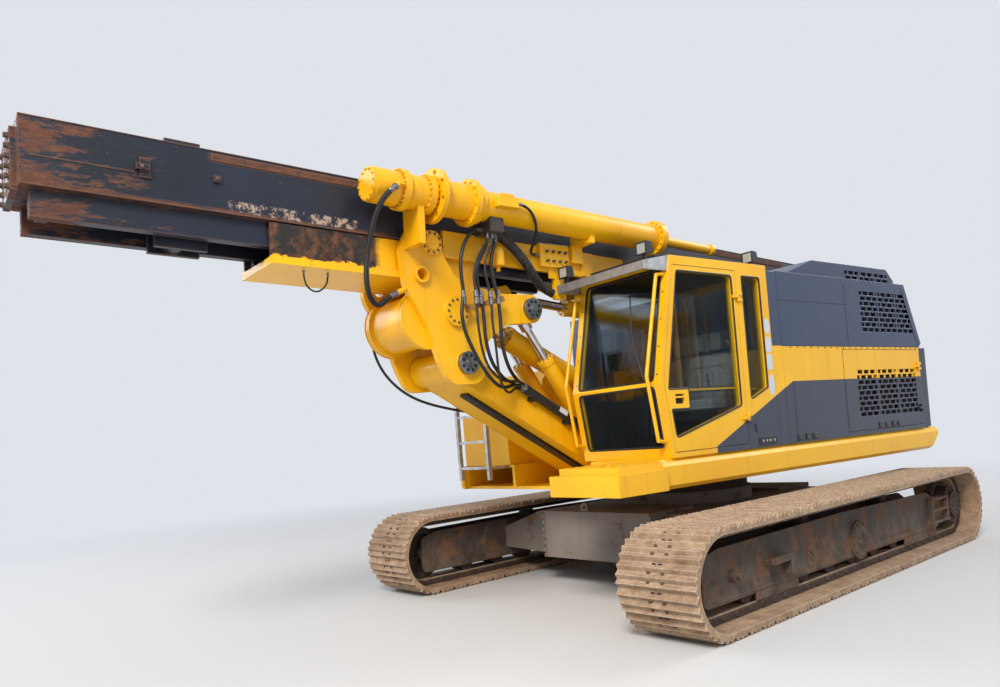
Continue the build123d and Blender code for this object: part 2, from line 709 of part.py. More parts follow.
def front_at(up, inset=0.0):
    """How far forward the cab's front is at a height, which leans out to its knee and back above it."""
    if up < CAB_KNEE[1]:
        share = (up - CAB_LOW) / (CAB_KNEE[1] - CAB_LOW)
        return CAB_FRONT + (CAB_KNEE[0] - CAB_FRONT) * share - inset
    share = (up - CAB_KNEE[1]) / (CAB_HIGH - CAB_KNEE[1])
    return CAB_KNEE[0] + (CAB_ROOF_FRONT - CAB_KNEE[0]) * share - inset


def door_outline(gap):
    """Outline of the door, made smaller by a gap."""
    pillar = DOOR_PILLAR + gap
    return [
        (DOOR_REAR + gap, DOOR_LOW + gap),
        (front_at(DOOR_LOW, pillar), DOOR_LOW + gap),
        (CAB_KNEE[0] - pillar, CAB_KNEE[1]),
        (front_at(DOOR_HIGH, pillar), DOOR_HIGH - gap),
        (DOOR_REAR + gap, DOOR_HIGH - gap),
    ]


# windows in the cab walls: wall, low and high along the wall, bottom, top
CAB_WINDOWS = (
    ("right", 400, 1650, 1900, 2960),
    ("rear", 520, 1330, 2150, 2960),
)
# windscreen panes: bottom, top
SCREEN_PANES = ((1430, 1955), (2005, 3000))
SCREEN_EDGE = 75.0


def quarter_window(gap):
    """Outline of the slim window behind the door, with its slanted foot."""
    return [
        (395 + gap, 1905 + gap, 30),
        (395 + gap, 2975 - gap, 30),
        (690 - gap, 2975 - gap, 30),
        (690 - gap, 1795 + gap * 1.5, 30),
    ]


def screen_profile(bottom, top, inset, thick):
    """Side outline of a windscreen pane behind the cab's front face."""
    return [
        (front_at(bottom, inset + thick), bottom),
        (front_at(bottom, inset), bottom),
        (front_at(top, inset), top),
        (front_at(top, inset + thick), top),
    ]


def door_hinges():
    """Heights of the cab door's hinges."""
    return (DOOR_LOW + DOOR_HINGE_INSET, DOOR_HIGH - DOOR_HINGE_INSET)


def service_hinges():
    """Heights of the service doors' hinges."""
    high = HOOD_SEAM - SERVICE_TOP_GAP
    return (SERVICE_LOW + SERVICE_HINGE_INSET, high - SERVICE_HINGE_INSET)


def make_cab_shell():
    """Hollow cab with its door frame and window cut-outs."""
    shell = side_profile(cab_outline(0), CAB_INNER, SIDE)
    shell -= side_profile(cab_outline(CAB_WALL), CAB_INNER + CAB_WALL, SIDE - CAB_WALL)
    shell -= side_profile(door_outline(0), SIDE - CAB_WALL - 1, SIDE + 1)
    for bottom, top in SCREEN_PANES:
        opening = screen_profile(bottom, top, -30, CAB_WALL + 60)
        shell -= side_profile(opening, CAB_INNER + SCREEN_EDGE, SIDE - SCREEN_EDGE)
    shell -= rounded_plate(quarter_window(0), SIDE - CAB_WALL - 1, SIDE + 1)
    for wall, low, high, bottom, top in CAB_WINDOWS:
        if wall == "right":
            shell -= block(CAB_INNER - 1, CAB_INNER + CAB_WALL + 1, low, high, bottom, top)
        else:
            shell -= block(low, high, CAB_REAR - 1, CAB_REAR + CAB_WALL + 1, bottom, top)
    for up in door_hinges():
        shell += hinge_fixed(SIDE, DOOR_REAR + PANEL_GAP / 2, up, 1)
    return shell


def make_cab_glass():
    """Panes in the cab's fixed windows, each as wide as its cut-out."""
    panes = []
    gap = PIN_GAP
    edge = SCREEN_EDGE + gap
    for bottom, top in SCREEN_PANES:
        pane = screen_profile(bottom + gap, top - gap, 18, GLASS)
        panes.append(side_profile(pane, CAB_INNER + edge, SIDE - edge))
    panes.append(rounded_plate(quarter_window(gap), SIDE - 30 - GLASS, SIDE - 30))
    for wall, low, high, bottom, top in CAB_WINDOWS:
        if wall == "right":
            pane = block(CAB_INNER + 26, CAB_INNER + 26 + GLASS, low + gap, high - gap, bottom + gap, top - gap)
        else:
            pane = block(low + gap, high - gap, CAB_REAR + 26, CAB_REAR + 26 + GLASS, bottom + gap, top - gap)
        panes.append(pane)
    return Compound(children=panes)


def make_door_frame():
    """Door leaf with its window cut out round the handle's plate, and a pull below it."""
    leaf = side_profile(door_outline(PANEL_GAP), SIDE - CAB_WALL, SIDE)
    leaf -= rounded_plate(door_window(0), SIDE - CAB_WALL - 1, SIDE + 1)
    for up in door_hinges():
        leaf += hinge_moving(SIDE, DOOR_REAR + PANEL_GAP / 2, up, 1)
    leaf -= block(SIDE - 22, SIDE + 1, GRIP[0] + 70, GRIP[0] + 190, GRIP[1] + 45, GRIP[2] - 45)
    leaf += block(SIDE - 16, SIDE + 4, GRIP[0] + 69, GRIP[0] + 191, GRIP[1] + 95, GRIP[1] + 112)
    return leaf


def door_window(gap):
    """Outline of the door's window, made smaller by a gap, lowest in front and notched for the handle."""
    rear = DOOR_REAR + DOOR_RAIL + gap
    grip_rear, grip_low, grip_high = GRIP
    pillar = DOOR_PILLAR + DOOR_RAIL - 20 + gap
    return [
        (rear, 1745 + gap, 40),
        (front_at(1500, pillar), 1500 + gap, 40),
        (front_at(grip_low, pillar), grip_low - gap, 12),
        (grip_rear - gap, grip_low - gap, 12),
        (grip_rear - gap, grip_high + gap, 12),
        (front_at(grip_high, pillar), grip_high + gap, 12),
        (front_at(DOOR_HIGH, pillar), DOOR_HIGH - 50 - gap, 40),
        (rear, DOOR_HIGH - 50 - gap, 40),
    ]


def make_door_glass():
    """Pane in the door."""
    return rounded_plate(door_window(PIN_GAP), SIDE - 34, SIDE - 34 + GLASS)


def visor_height(forward):
    """Height of the visor's top face at a distance forward."""
    share = (forward - CAB_ROOF_FRONT) / VISOR_REACH
    return VISOR_REAR_HIGH + (VISOR_FRONT_HIGH - VISOR_REAR_HIGH) * share


def make_visor():
    """Sun and rain visor across the cab's front, and the slotted guard on the roof."""
    forward = CAB_ROOF_FRONT
    visor = side_profile(
        [(front_at(2960, -PIN_GAP), 2960), (forward + VISOR_REACH, 2960), (forward + VISOR_REACH, VISOR_FRONT_HIGH),
         (front_at(VISOR_REAR_HIGH, -PIN_GAP), VISOR_REAR_HIGH)],
        CAB_INNER - 20, SIDE - 10)
    visor -= side_profile(
        [(front_at(2960, 1), 2940), (forward + VISOR_REACH - 20, 2940),
         (forward + VISOR_REACH - 20, VISOR_FRONT_HIGH - 15), (front_at(3080, 1), VISOR_REAR_HIGH - 18)],
        CAB_INNER, SIDE - 30)
    return visor


def make_roof_guard():
    """Flat guard that lies on the cab roof."""
    guard = block(CAB_INNER + 60, SIDE - 200, CAB_REAR + 80, CAB_ROOF_FRONT - 60, CAB_HIGH + 0.1, CAB_HIGH + 60)
    for number in range(8):
        x = CAB_INNER + 130 + 90 * number
        guard -= block(x, x + 40, CAB_REAR + 150, CAB_ROOF_FRONT - 130, CAB_HIGH, CAB_HIGH + 61)
    return guard


def make_seat():
    """Operator's seat on its plinth."""
    middle = (CAB_INNER + SIDE) / 2
    floor = CAB_LOW + CAB_WALL
    seat = block(middle - 180, middle + 180, 560, 980, floor + 0.1, floor + 330)
    seat += block(middle - 250, middle + 250, 540, 1060, floor + 330, floor + 450)
    seat += side_profile(
        [(560, floor + 450), (680, floor + 450), (560, floor + 1130), (460, floor + 1130)],
        middle - 240, middle + 240)
    return seat


def make_handrails():
    """Two bent rails on the cab's front corners, and the mirror on the right one."""
    rails = []
    for x in (CAB_INNER + 40, SIDE - 40):
        rails.append(pipe([
            (x, front_at(2940) + 6.5, 2940),
            (x, front_at(2925) + 105, 2925),
            (x, CAB_KNEE[0] + 120, CAB_KNEE[1] + 60),
            (x, front_at(1490) + 105, 1490),
            (x, front_at(1475) + 6.5, 1475)], 16))
    return Compound(children=rails)


def make_mirror():
    """Mirror held beside the cab's right front pillar."""
    front = CAB_ROOF_FRONT + 90
    mirror = rounded_plate(
        [(front - 210, 2340, 20), (front - 210, 2580, 20), (front, 2580, 20), (front, 2340, 20)],
        CAB_INNER - 54, CAB_INNER - 27)
    return mirror + block(CAB_INNER - 30, CAB_INNER - 0.1, front - 120, front - 80, 2440, 2480)


def make_console():
    """Side console with its lever, and the display post at the cab's front."""
    floor = CAB_LOW + CAB_WALL + 0.1
    console = block(CAB_INNER + 90, CAB_INNER + 230, 640, 1240, floor, floor + 560)
    console += bar_between(CAB_INNER + 160, (1150, floor + 540), (1190, floor + 720), 16)
    post = block(CAB_INNER + 110, CAB_INNER + 190, 1600, 1660, floor, floor + 780)
    post += block(CAB_INNER + 80, CAB_INNER + 300, 1590, 1630, floor + 780, floor + 980)
    pedals = block(SIDE - 640, SIDE - 420, 1500, 1640, floor, floor + 60)
    pedals += bar_between(SIDE - 590, (1560, floor + 50), (1440, floor + 480), 12)
    pedals += bar_between(SIDE - 470, (1560, floor + 50), (1440, floor + 480), 12)
    return Compound(children=[console, post, pedals])


def make_lamps():
    """Work lamps on the cab roof and at the visor's corners."""
    # x, forward, up
    places = (
        (CAB_INNER + 60, 2000, visor_height(1985)),
        (SIDE - 120, 1900, visor_height(1885)),
        (SIDE - 120, 330, CAB_HIGH + 0.1),
    )
    lamps = []
    for x, forward, up in places:
        body = rounded_plate(
            [(forward - 45, up + 60, 8), (forward - 30, up + 150, 8), (forward + 45, up + 158, 6),
             (forward + 45, up + 42, 6)],
            x - 60, x + 60)
        body -= block(x - 50, x + 50, forward + 38, forward + 46, up + 52, up + 148)
        foot = block(x - 12, x + 12, forward - 15, forward + 15, up + 0.4, up + 60)
        lamps.append(body + foot)
    return Compound(children=lamps)


def hood_outline(inset):
    """Side outline of the hood, moved in by its wall at the front, top and rear."""
    return [
        (HOOD_FRONT - inset, DECK_HIGH + 0.1 if inset == 0 else DECK_HIGH - 1),
        (HOOD_FRONT - inset, HOOD_HIGH - inset),
        (-HOOD_TOP_REAR + inset * 0.6, HOOD_HIGH - inset),
        (-HOOD_REAR - 70 + inset, HOOD_SEAM + 40),
        (-HOOD_REAR + inset, HOOD_SEAM - 10),
        (-HOOD_REAR + inset, DECK_HIGH + 0.1 if inset == 0 else DECK_HIGH - 1),
    ]


# grilles in a side wall: rear edge, front edge, bottom, rows, columns
HOOD_GRILLE = (-2770.0, -1500.0, 2480.0, 8, 3)
DOOR_GRILLE = (-2720.0, -1300.0, 1535.0, 9, 3)
TOP_GRILLE = (-2420.0, -1400.0, HOOD_HIGH + 22, 2, 3)


def grille_slots(grille, x_low, x_high):
    """Rows of slots to cut through a wall."""
    rear, front, bottom, rows, columns = grille
    pitch = (front - rear) / columns
    slots = []
    for row in range(round(rows)):
        low = bottom + row * (SLOT + SLOT_WEB)
        for column in range(round(columns)):
            back = rear + column * pitch
            slots.append(block(x_low, x_high, back, back + pitch - SLOT_WEB * 1.5, low, low + SLOT))
    return slots


def make_hood_shell():
    """Engine housing with its service openings and ventilation slots."""
    shell = side_profile(hood_outline(0), -SIDE, SIDE)
    shell -= side_profile(hood_outline(HOOD_WALL), -SIDE + HOOD_WALL, SIDE - HOOD_WALL)
    high = HOOD_SEAM - SERVICE_TOP_GAP
    shell -= block(-SIDE - 1, SIDE + 1, -SERVICE_REAR, -SERVICE_FRONT, SERVICE_LOW, high)
    shell -= grille_slots(HOOD_GRILLE, SIDE - HOOD_WALL - 1, SIDE + 1)
    shell -= grille_slots(HOOD_GRILLE, -SIDE - 1, HOOD_WALL - SIDE + 1)
    for side in (1, -1):
        for up in service_hinges():
            shell += hinge_fixed(side * SIDE, PANEL_GAP / 2 - SERVICE_REAR, up, side)
    return shell


def make_service_door(side):
    """Side door of the engine room with its ventilation slots."""
    high = HOOD_SEAM - SERVICE_TOP_GAP
    gap = PANEL_GAP
    low_x = min(side * (SIDE - HOOD_WALL), side * SIDE)
    door = block(low_x, low_x + HOOD_WALL, gap - SERVICE_REAR, -SERVICE_FRONT - gap, SERVICE_LOW + gap, high - gap)
    door -= grille_slots(DOOR_GRILLE, low_x - 1, low_x + HOOD_WALL + 1)
    for up in service_hinges():
        door += hinge_moving(side * SIDE, gap / 2 - SERVICE_REAR, up, side)
    return door


def make_top_box():
    """Raised box on the left of the hood's top, with its sloping front and a slotted side."""
    outline = [
        (-170, HOOD_HIGH + 0.1), (-760, TOP_BOX_HIGH), (-2400, TOP_BOX_HIGH), (-2560, HOOD_HIGH + 60),
        (-2560, HOOD_HIGH + 0.1)]
    box = side_profile(outline, TOP_BOX_INNER, TOP_BOX_OUTER)
    box -= block(TOP_BOX_INNER + 30, TOP_BOX_OUTER - 30, -2380, -900, HOOD_HIGH, TOP_BOX_HIGH - 30)
    box -= grille_slots(TOP_GRILLE, TOP_BOX_OUTER - 31, TOP_BOX_OUTER + 1)
    return box


def make_counterweight():
    """Cast weight behind the hood, narrower at its rear corners and between the skirts."""
    low = DECK_LOW + 20
    half = SIDE - 12
    weight = plan_profile(
        [(-half, -HOOD_REAR - 0.1), (-half, -WEIGHT_REAR + 190), (-half + 260, -WEIGHT_REAR),
         (half - 260, -WEIGHT_REAR), (half, -WEIGHT_REAR + 190), (half, -HOOD_REAR - 0.1)],
        low, HOOD_SEAM - 10)
    between = SIDE - SKIRT_WALL - RUN_GAP
    for side in (1, -1):
        edge = min(side * between, side * SIDE)
        weight -= block(edge, edge + SIDE - between, -WEIGHT_REAR - 1, -HOOD_REAR, low - 1, DECK_HIGH + RUN_GAP)
    top = [(-WEIGHT_REAR - 1, HOOD_SEAM - 120), (-WEIGHT_REAR - 1, HOOD_SEAM), (-WEIGHT_REAR + 150, HOOD_SEAM)]
    weight -= side_profile(top, -SIDE, SIDE)
    return weight


def make_engine():
    """Engine and pumps as one plain block on the deck."""
    return block(-450, 450, -2350, -900, DECK_HIGH + 0.1, 2200)


# Boom
BOOM_SPAN = hypot(BOOM_HEAD[0] - BOOM_FOOT[0], BOOM_HEAD[1] - BOOM_FOOT[1])


def boom_strip(start, end, low, high, x_low, x_high):
    """Bar along the boom, between two distances from its foot and two heights over its axis."""
    corners = ((start, low), (start, high), (end, high), (end, low))
    outline = [beside(BOOM_FOOT, BOOM_HEAD, distance, height) for distance, height in corners]
    return side_profile(outline, x_low, x_high)


def make_boom():
    """Trough of a boom: two side plates and a floor, open on top for the tilt cylinders."""
    half = BOOM_DEPTH / 2
    neck = BOOM_SPAN - 230
    outline = [
        beside(BOOM_FOOT, BOOM_HEAD, -40, -90),
        beside(BOOM_FOOT, BOOM_HEAD, -60, 40),
        beside(BOOM_FOOT, BOOM_HEAD, 60, half),
        beside(BOOM_FOOT, BOOM_HEAD, neck, half),
        beside(BOOM_FOOT, BOOM_HEAD, BOOM_SPAN, half + 8),
        beside(BOOM_FOOT, BOOM_HEAD, BOOM_SPAN, -half - 8),
        beside(BOOM_FOOT, BOOM_HEAD, neck, -half),
        beside(BOOM_FOOT, BOOM_HEAD, 60, -half),
    ]
    boom = boom_strip(60, BOOM_SPAN - 40, -half, BOOM_FLOOR - half, -BOOM_HALF, BOOM_HALF)
    boom += boom_strip(neck - 60, BOOM_SPAN - 40, half - BOOM_FLOOR, half, -BOOM_HALF, BOOM_HALF)
    for side in (1, -1):
        low = min(side * BOOM_HALF, side * (BOOM_HALF - BOOM_WALL))
        boom += side_profile(outline, low, low + BOOM_WALL)
        boom += cross_rod(BOOM_FOOT, BOOM_BOSS, low, low + BOOM_WALL)
    boom += cross_rod(BOOM_HEAD, BOOM_TUBE, -CHEEK_IN + RUN_GAP, CHEEK_IN - RUN_GAP)
    boom -= cross_rod(BOOM_HEAD, PIN + PIN_GAP, -CHEEK_IN, CHEEK_IN)
    boom -= cross_rod(BOOM_FOOT, PIN + PIN_GAP, -BOOM_HALF - 1, BOOM_HALF + 1)
    return boom


# Leader pieces are drawn level, with s measured back from the tip and h up from the top face
def leader_place(solid):
    return Pos(0, -LEADER_TIP[0], LEADER_TIP[1]) * Rot(-LEADER_PITCH, 0, 0) * solid


def leader_block(x_low, x_high, s_low, s_high, h_low, h_high):
    return leader_place(Pos(x_low, s_low, h_low) * Box(
        x_high - x_low, s_high - s_low, h_high - h_low, align=(Align.MIN, Align.MIN, Align.MIN)))


def leader_rod(x, h, radius, s_low, s_high):
    bar = Rot(-90, 0, 0) * Cylinder(radius, s_high - s_low, align=(Align.CENTER, Align.CENTER, Align.MIN))
    return leader_place(Pos(x, s_low, h) * bar)


# Head
def make_cheeks():
    """Two curved cheeks that reach from the boom's head to the leader, with their rear arms."""
    pivot = BOOM_HEAD
    arm = ARM_PIN
    outline = [
        (pivot[0] - 210, pivot[1] - 180, 150),
        (pivot[0] + 180, pivot[1] - 190, 150),
        (pivot[0] + 280, pivot[1] + 20, 200),
        (3590, 2600, 300),
        (3790, 2960, 250),
        (3810, 3260, 120),
        (3720, 3440, 90),
        (3400, 3440, 60),
        (3370, 3230, 80),
        (3230, 3010, 200),
        (2740, 2930, 150),
        (arm[0] - 120, arm[1] + 140, 110),
        (arm[0] - 130, arm[1] - 120, 110),
        (2720, 2650, 200),
        (3000, 2480, 250),
    ]
    cheeks = cross_rod(DRUM_AT, DRUM_RADIUS, -CHEEK_IN, CHEEK_IN)
    for side in (1, -1):
        low = min(side * CHEEK_IN, side * CHEEK_OUT)
        cheeks += rounded_plate(outline, low, low + CHEEK_OUT - CHEEK_IN)
        for place, radius, bore in CHEEK_BOSSES:
            edge = min(side * (CHEEK_OUT - 2), side * (CHEEK_OUT + BOSS_HIGH))
            cheeks += cross_rod(place, radius, edge, edge + BOSS_HIGH + 2)
            if bore:
                cheeks -= cross_rod(place, bore, side * CHEEK_OUT - 140, side * CHEEK_OUT + 140)
        low = min(side * LUG_IN, side * (LUG_IN + LUG))
        cheeks += rounded_plate(lug_outline(), low, low + LUG)
        collar = min(side * (CHEEK_IN - 70), side * CHEEK_IN)
        cheeks += cross_rod(DRUM_AT, DRUM_RADIUS + 30, collar, collar + 70)
    low = -CHEEK_OUT
    far = [(3380, 3190, 40), (3380, 3550, 60), (3670, 3550, 60), (3670, 3190, 60)]
    cheeks += rounded_plate(far, low, -LEADER_HALF - RUN_GAP)
    cheeks -= cross_rod((3525, 3400), 58, low - 1, -LEADER_HALF)
    cheeks += cross_rod(BOOM_HEAD, PIN, -CHEEK_IN - 1, CHEEK_IN + 1)
    x, forward, up = HOSES["hose_ribbed"][1][-1]
    return cheeks + bar_between(x, (forward - 90, up + 40), (forward - 0.1, up + 0.05), 24)


# bosses on both cheeks: place, outer radius, bore through the cheek
BOSS_HIGH = 36.0
CHEEK_BOSSES = (
    ((3290.0, 2750.0), 130.0, 0.0),
    ((3627.0, 3050.0), 72.0, 50.0),
)


def lug_outline():
    """Plates between the cheeks that hold the rods of the push and neck cylinders."""
    return [
        (DRUM_AT[0] - 100, DRUM_AT[1] + 190, 0),
        (3000, 2960, 60),
        (NECK_EYE[0] - 20, NECK_EYE[1] + 85, 40),
        (NECK_EYE[0] - 85, NECK_EYE[1], 30),
        (NECK_EYE[0] + 10, NECK_EYE[1] - 100, 40),
        (PUSH_EYE[0] + 20, PUSH_EYE[1] + 90, 60),
        (PUSH_EYE[0] - 85, PUSH_EYE[1], 30),
        (PUSH_EYE[0] - 20, PUSH_EYE[1] - 85, 30),
        (3000, 2600, 60),
        (DRUM_AT[0] - 100, DRUM_AT[1] - 150, 0),
    ]


def make_pin_covers():
    """Bolted covers on the ends of the head's pins, and the stepped flange at its top."""
    covers = []
    for side in (1, -1):
        # place, then radius and height of each step
        for place, steps in (
                (BOOM_HEAD, ((COVER_RADIUS, COVER), (28, COVER + 8))),
                (ARM_PIN, ((COVER_RADIUS, COVER), (28, COVER + 8))),
                (HEAD_TOP, ((COVER_RADIUS + 5, COVER / 2), (66, COVER - 8), (20, COVER)))):
            cover = None
            for radius, height in steps:
                low = min(side * (CHEEK_OUT + 0.1), side * (CHEEK_OUT + height))
                step = cross_rod(place, radius, low, low + height - 0.1)
                cover = step if cover is None else cover + step
            covers.append(cover)
    return Compound(children=covers)


def make_cradle():
    """Cradle under the leader: floor plate, side walls, wear pads for the rails and the long rear arms."""
    floor_top = -LEADER_DEPTH - RAIL_DEPTH - 80
    cradle = leader_block(-CHEEK_IN, CHEEK_IN, CRADLE_FRONT, CRADLE_REAR, floor_top - CRADLE_PLATE, floor_top)
    wall_low = RAIL_OUT + 15
    arm_low = LEADER_HALF + RUN_GAP
    for side in (1, -1):
        low = min(side * wall_low, side * (wall_low + 25))
        cradle += leader_block(low, low + 25, CRADLE_FRONT, CRADLE_REAR, floor_top, -LEADER_DEPTH - RUN_GAP)
        for s_low in (CRADLE_FRONT + 40, CRADLE_REAR - 440):
            low = min(side * RAIL_IN, side * RAIL_OUT)
            cradle += leader_block(
                low, low + RAIL_OUT - RAIL_IN, s_low, s_low + 400, floor_top, -LEADER_DEPTH - RAIL_DEPTH - PIN_GAP)
        low = min(side * arm_low, side * (arm_low + ARM_WALL))
        cradle += leader_block(low, low + ARM_WALL, CRADLE_REAR - 380, ARM_END, ARM_LOW, ARM_HIGH)
        inner = min(side * wall_low, side * arm_low)
        cradle += leader_block(
            inner, inner + arm_low - wall_low + 1, CRADLE_REAR - 380, CRADLE_REAR, ARM_LOW, -LEADER_DEPTH - RUN_GAP)
        cradle += leader_block(low, low + ARM_WALL, ARM_END - 200, ARM_END, floor_top + 40, ARM_LOW)
    tie = arm_low + ARM_WALL
    cradle += leader_block(-tie, tie, ARM_END - 200, ARM_END, floor_top + 40, floor_top + 65)
    return cradle


def make_leader_box():
    """The leader's box girder, closed by a thick plate at both ends, with the bolted plate at its foot."""
    half = LEADER_HALF
    wall = LEADER_WALL
    box = leader_block(-half, half, 0, LEADER_LENGTH, -LEADER_DEPTH, 0)
    box -= leader_block(wall - half, half - wall, LEADER_END, LEADER_LENGTH - LEADER_END, wall - LEADER_DEPTH, -wall)
    box += leader_block(-half + 60, half - 60, -NOSE, 0, -LEADER_DEPTH - 30, -70)
    return box


def make_leader_rails():
    """Guide rails under the front of the leader."""
    rails = []
    for side in (1, -1):
        low = min(side * RAIL_IN, side * RAIL_OUT)
        high = -LEADER_DEPTH - 0.1
        rails.append(leader_block(
            low, low + RAIL_OUT - RAIL_IN, 60, 60 + RAIL_LENGTH, -LEADER_DEPTH - RAIL_DEPTH, high))
    return Compound(children=rails)


def make_leader_blocks():
    """Feed cylinder and rope block between the rails, the bracket on the side and the pads on top."""
    under = -LEADER_DEPTH - 0.1
    feed = leader_rod(0, -LEADER_DEPTH - 75, 60, 120, 860)
    feed += leader_rod(0, -LEADER_DEPTH - 75, 74, 120, 190)
    feed += leader_block(-70, 70, 200, 260, -LEADER_DEPTH - 70, under)
    feed += leader_block(-60, 60, 700, 1180, -LEADER_DEPTH - 60, under)
    for x in (-120, 80):
        feed += leader_block(x, x + 40, 860, 1240, -LEADER_DEPTH - RAIL_DEPTH - 60, under)
    sheave = leader_place(Pos(-79.9, 1040, -LEADER_DEPTH - RAIL_DEPTH + 35) * Rot(0, 90, 0) * Cylinder(
        85, 159.8, align=(Align.CENTER, Align.CENTER, Align.MIN)))
    feed += sheave
    near = LEADER_HALF + 0.1
    bracket = leader_block(near, near + 14, 730, 800, -290, -150) + leader_block(near, near + 34, 700, 790, -240, -200)
    small = leader_block(near, near + 22, 1240, 1290, -235, -190)
    pad = leader_block(100, 300, 900, 1150, 0.1, 26)
    return Compound(children=[feed, bracket, small, pad])


# Drive unit, given by its run along the leader: from, to, radius
SHAFT_RADIUS = 55.0
GEAR_RUN = (
    (2370, 2640, 132), (2400, 2620, 140), (2640, 2700, 165), (2700, 2890, 138), (2890, 2950, 160),
    (2950, 3400, SHAFT_RADIUS))
DISC_HOLES = 8
DISC_RUN = ((2975, 3020, DRIVE_DISC), (3020, 3330, 150), (3330, 3380, DRIVE_DISC - 25))
TUBE_RUN = ((3400, 5760, TUBE_RADIUS), (5720, 5790, TUBE_RADIUS + 50), (3400, 3450, TUBE_RADIUS + 35))
ARM_RUN = ((5790, 5830, 70), (5830, 6760, 45), (6690, 6740, 60))


def drive_turning(run):
    """Turned piece on the drive unit's axis."""
    piece = None
    for s_low, s_high, radius in run:
        ring = leader_rod(DRIVE_SIDE, -DRIVE_DROP, radius, s_low, s_high)
        piece = ring if piece is None else piece + ring
    return piece


def make_drive_tube():
    """Long tube beside the leader with its round end flange and the thin cylinder behind it."""
    return drive_turning(TUBE_RUN) + drive_turning(ARM_RUN)


def make_gearbox():
    """Motor and stepped gearbox of the drive unit, with the elbow that the ribbed hose leaves."""
    place = HOSES["hose_ribbed"][1][0]
    gearbox = drive_turning(GEAR_RUN)
    gearbox += cross_rod((place[1] - 44, place[2] + 33), 24, DRIVE_SIDE + 100, place[0] + 22)
    return gearbox + bar_between(place[0], (place[1] - 44, place[2] + 33), (place[1] - 0.1, place[2] + 0.1), 22)


def make_drive_disc():
    """Disc with its ring of holes and a hub that turns round the shaft of the drive unit."""
    disc = drive_turning(DISC_RUN) - leader_rod(DRIVE_SIDE, -DRIVE_DROP, SHAFT_RADIUS + PIN_GAP, 2970, 3390)
    for number in range(DISC_HOLES):
        angle = 2 * pi * (number + 0.5) / DISC_HOLES
        x = DRIVE_SIDE + 186 * cos(angle)
        disc -= leader_rod(x, -DRIVE_DROP + 186 * sin(angle), 22, 2970, 3025)
    return disc


def make_saddles():
    """Post on the head's near cheek and bracket on the cradle's near arm that carry the drive unit."""
    low = CHEEK_OUT + 0.1
    high = DRIVE_SIDE + 70
    front = leader_block(low, high, FRONT_POST, FRONT_POST + POST, -560, -DRIVE_DROP)
    front -= leader_rod(DRIVE_SIDE, -DRIVE_DROP, GEAR_RUN[3][2] + 0.1, FRONT_POST - 1, FRONT_POST + POST + 1)
    arm = ARM_FACE + 0.1
    rear = leader_block(arm, high, REAR_POST, REAR_POST + POST, ARM_HIGH + 20, -DRIVE_DROP)
    rear += leader_block(arm, arm + POST, REAR_POST - 40, REAR_POST + POST + 40, ARM_LOW + 110, ARM_HIGH + 40)
    rear -= leader_rod(DRIVE_SIDE, -DRIVE_DROP, TUBE_RADIUS + 0.1, REAR_POST - 50, REAR_POST + POST + 50)
    return Compound(children=[front, rear])


def make_head_fittings():
    """Valve box, pressure bottle, hose clamp and hose blocks that stand on the head and the cradle's arm."""
    face = ARM_FACE + 0.1
    valves = block(face, face + 46, 1880, 2250, 3215, 3430)
    foot = HOSES["hose_sleeve"][1][0]
    gland = block(LEADER_HALF + RUN_GAP + 2, face + 20, foot[1] - 130, foot[1] - 20, foot[2] - 60, 3160)
    gland += bar_between(foot[0], (foot[1] - 60, foot[2] - 22.2), (foot[1] - 0.1, foot[2] - 0.04), 44)
    hanger = leader_block(face, face + 12, 4440, 4560, ARM_LOW - 60, ARM_LOW + 160)
    bottle = Pos(face + 67, -2800, 3170) * Cylinder(65, 130, align=(Align.CENTER, Align.CENTER, Align.MIN))
    bottle += Pos(face + 67, -2800, 3300) * Sphere(65)
    bottle += Pos(face + 67, -2800, 3125) * Cylinder(20, 46, align=(Align.CENTER, Align.CENTER, Align.MIN))
    bottle += block(face, face + 67, 2775, 2825, 3235, 3290)
    clamp = side_profile([(3240, 2740), (3255, 2786), (2815, 2890), (2800, 2844)], CHEEK_OUT + 80, CHEEK_OUT + 94)
    clamp += cross_rod((3100, 2800), 20, CHEEK_OUT + 0.1, CHEEK_OUT + 90)
    clamp += cross_rod((2920, 2842), 20, CHEEK_OUT + 0.1, CHEEK_OUT + 90)
    end = HOSES["hose_sleeve"][1][-1]
    manifold = block(DRIVE_SIDE - 150, DRIVE_SIDE + 75, end[1] + 20, 3020, 3420, 3560)
    manifold += bar_between(end[0], (end[1] + 0.1, end[2] + 0.05), (end[1] + 50, end[2] + 23.2), 50)
    manifold -= leader_rod(DRIVE_SIDE, -DRIVE_DROP, TUBE_RADIUS + 0.1, 3380, 3800)
    return Compound(children=[valves, gland + hanger, bottle, clamp, manifold])


def make_boom_lines():
    """Sleeve with the hoses on the boom's near side, held by its clips, and the hose tray under the boom."""
    near = BOOM_HALF + 0.1
    start = beside(BOOM_FOOT, BOOM_HEAD, 240, SLEEVE_OFFSET)
    end = beside(BOOM_FOOT, BOOM_HEAD, SLEEVE_END, SLEEVE_OFFSET)
    sleeve = bar_between(BOOM_SLEEVE_SIDE, start, end, SLEEVE_RADIUS)
    sleeve += bar_between(
        BOOM_SLEEVE_SIDE, beside(BOOM_FOOT, BOOM_HEAD, SLEEVE_END - 25, SLEEVE_OFFSET), end, SLEEVE_RADIUS + 8)
    for distance in (330, 820, 1300):
        sleeve += boom_strip(distance, distance + 40, 60, 150, near, BOOM_SLEEVE_SIDE + 10)
    below = -BOOM_DEPTH / 2 - 0.1
    tray = boom_strip(200, BOOM_SPAN - 260, below - 30, below, 40, 150)
    return Compound(children=[sleeve, tray])


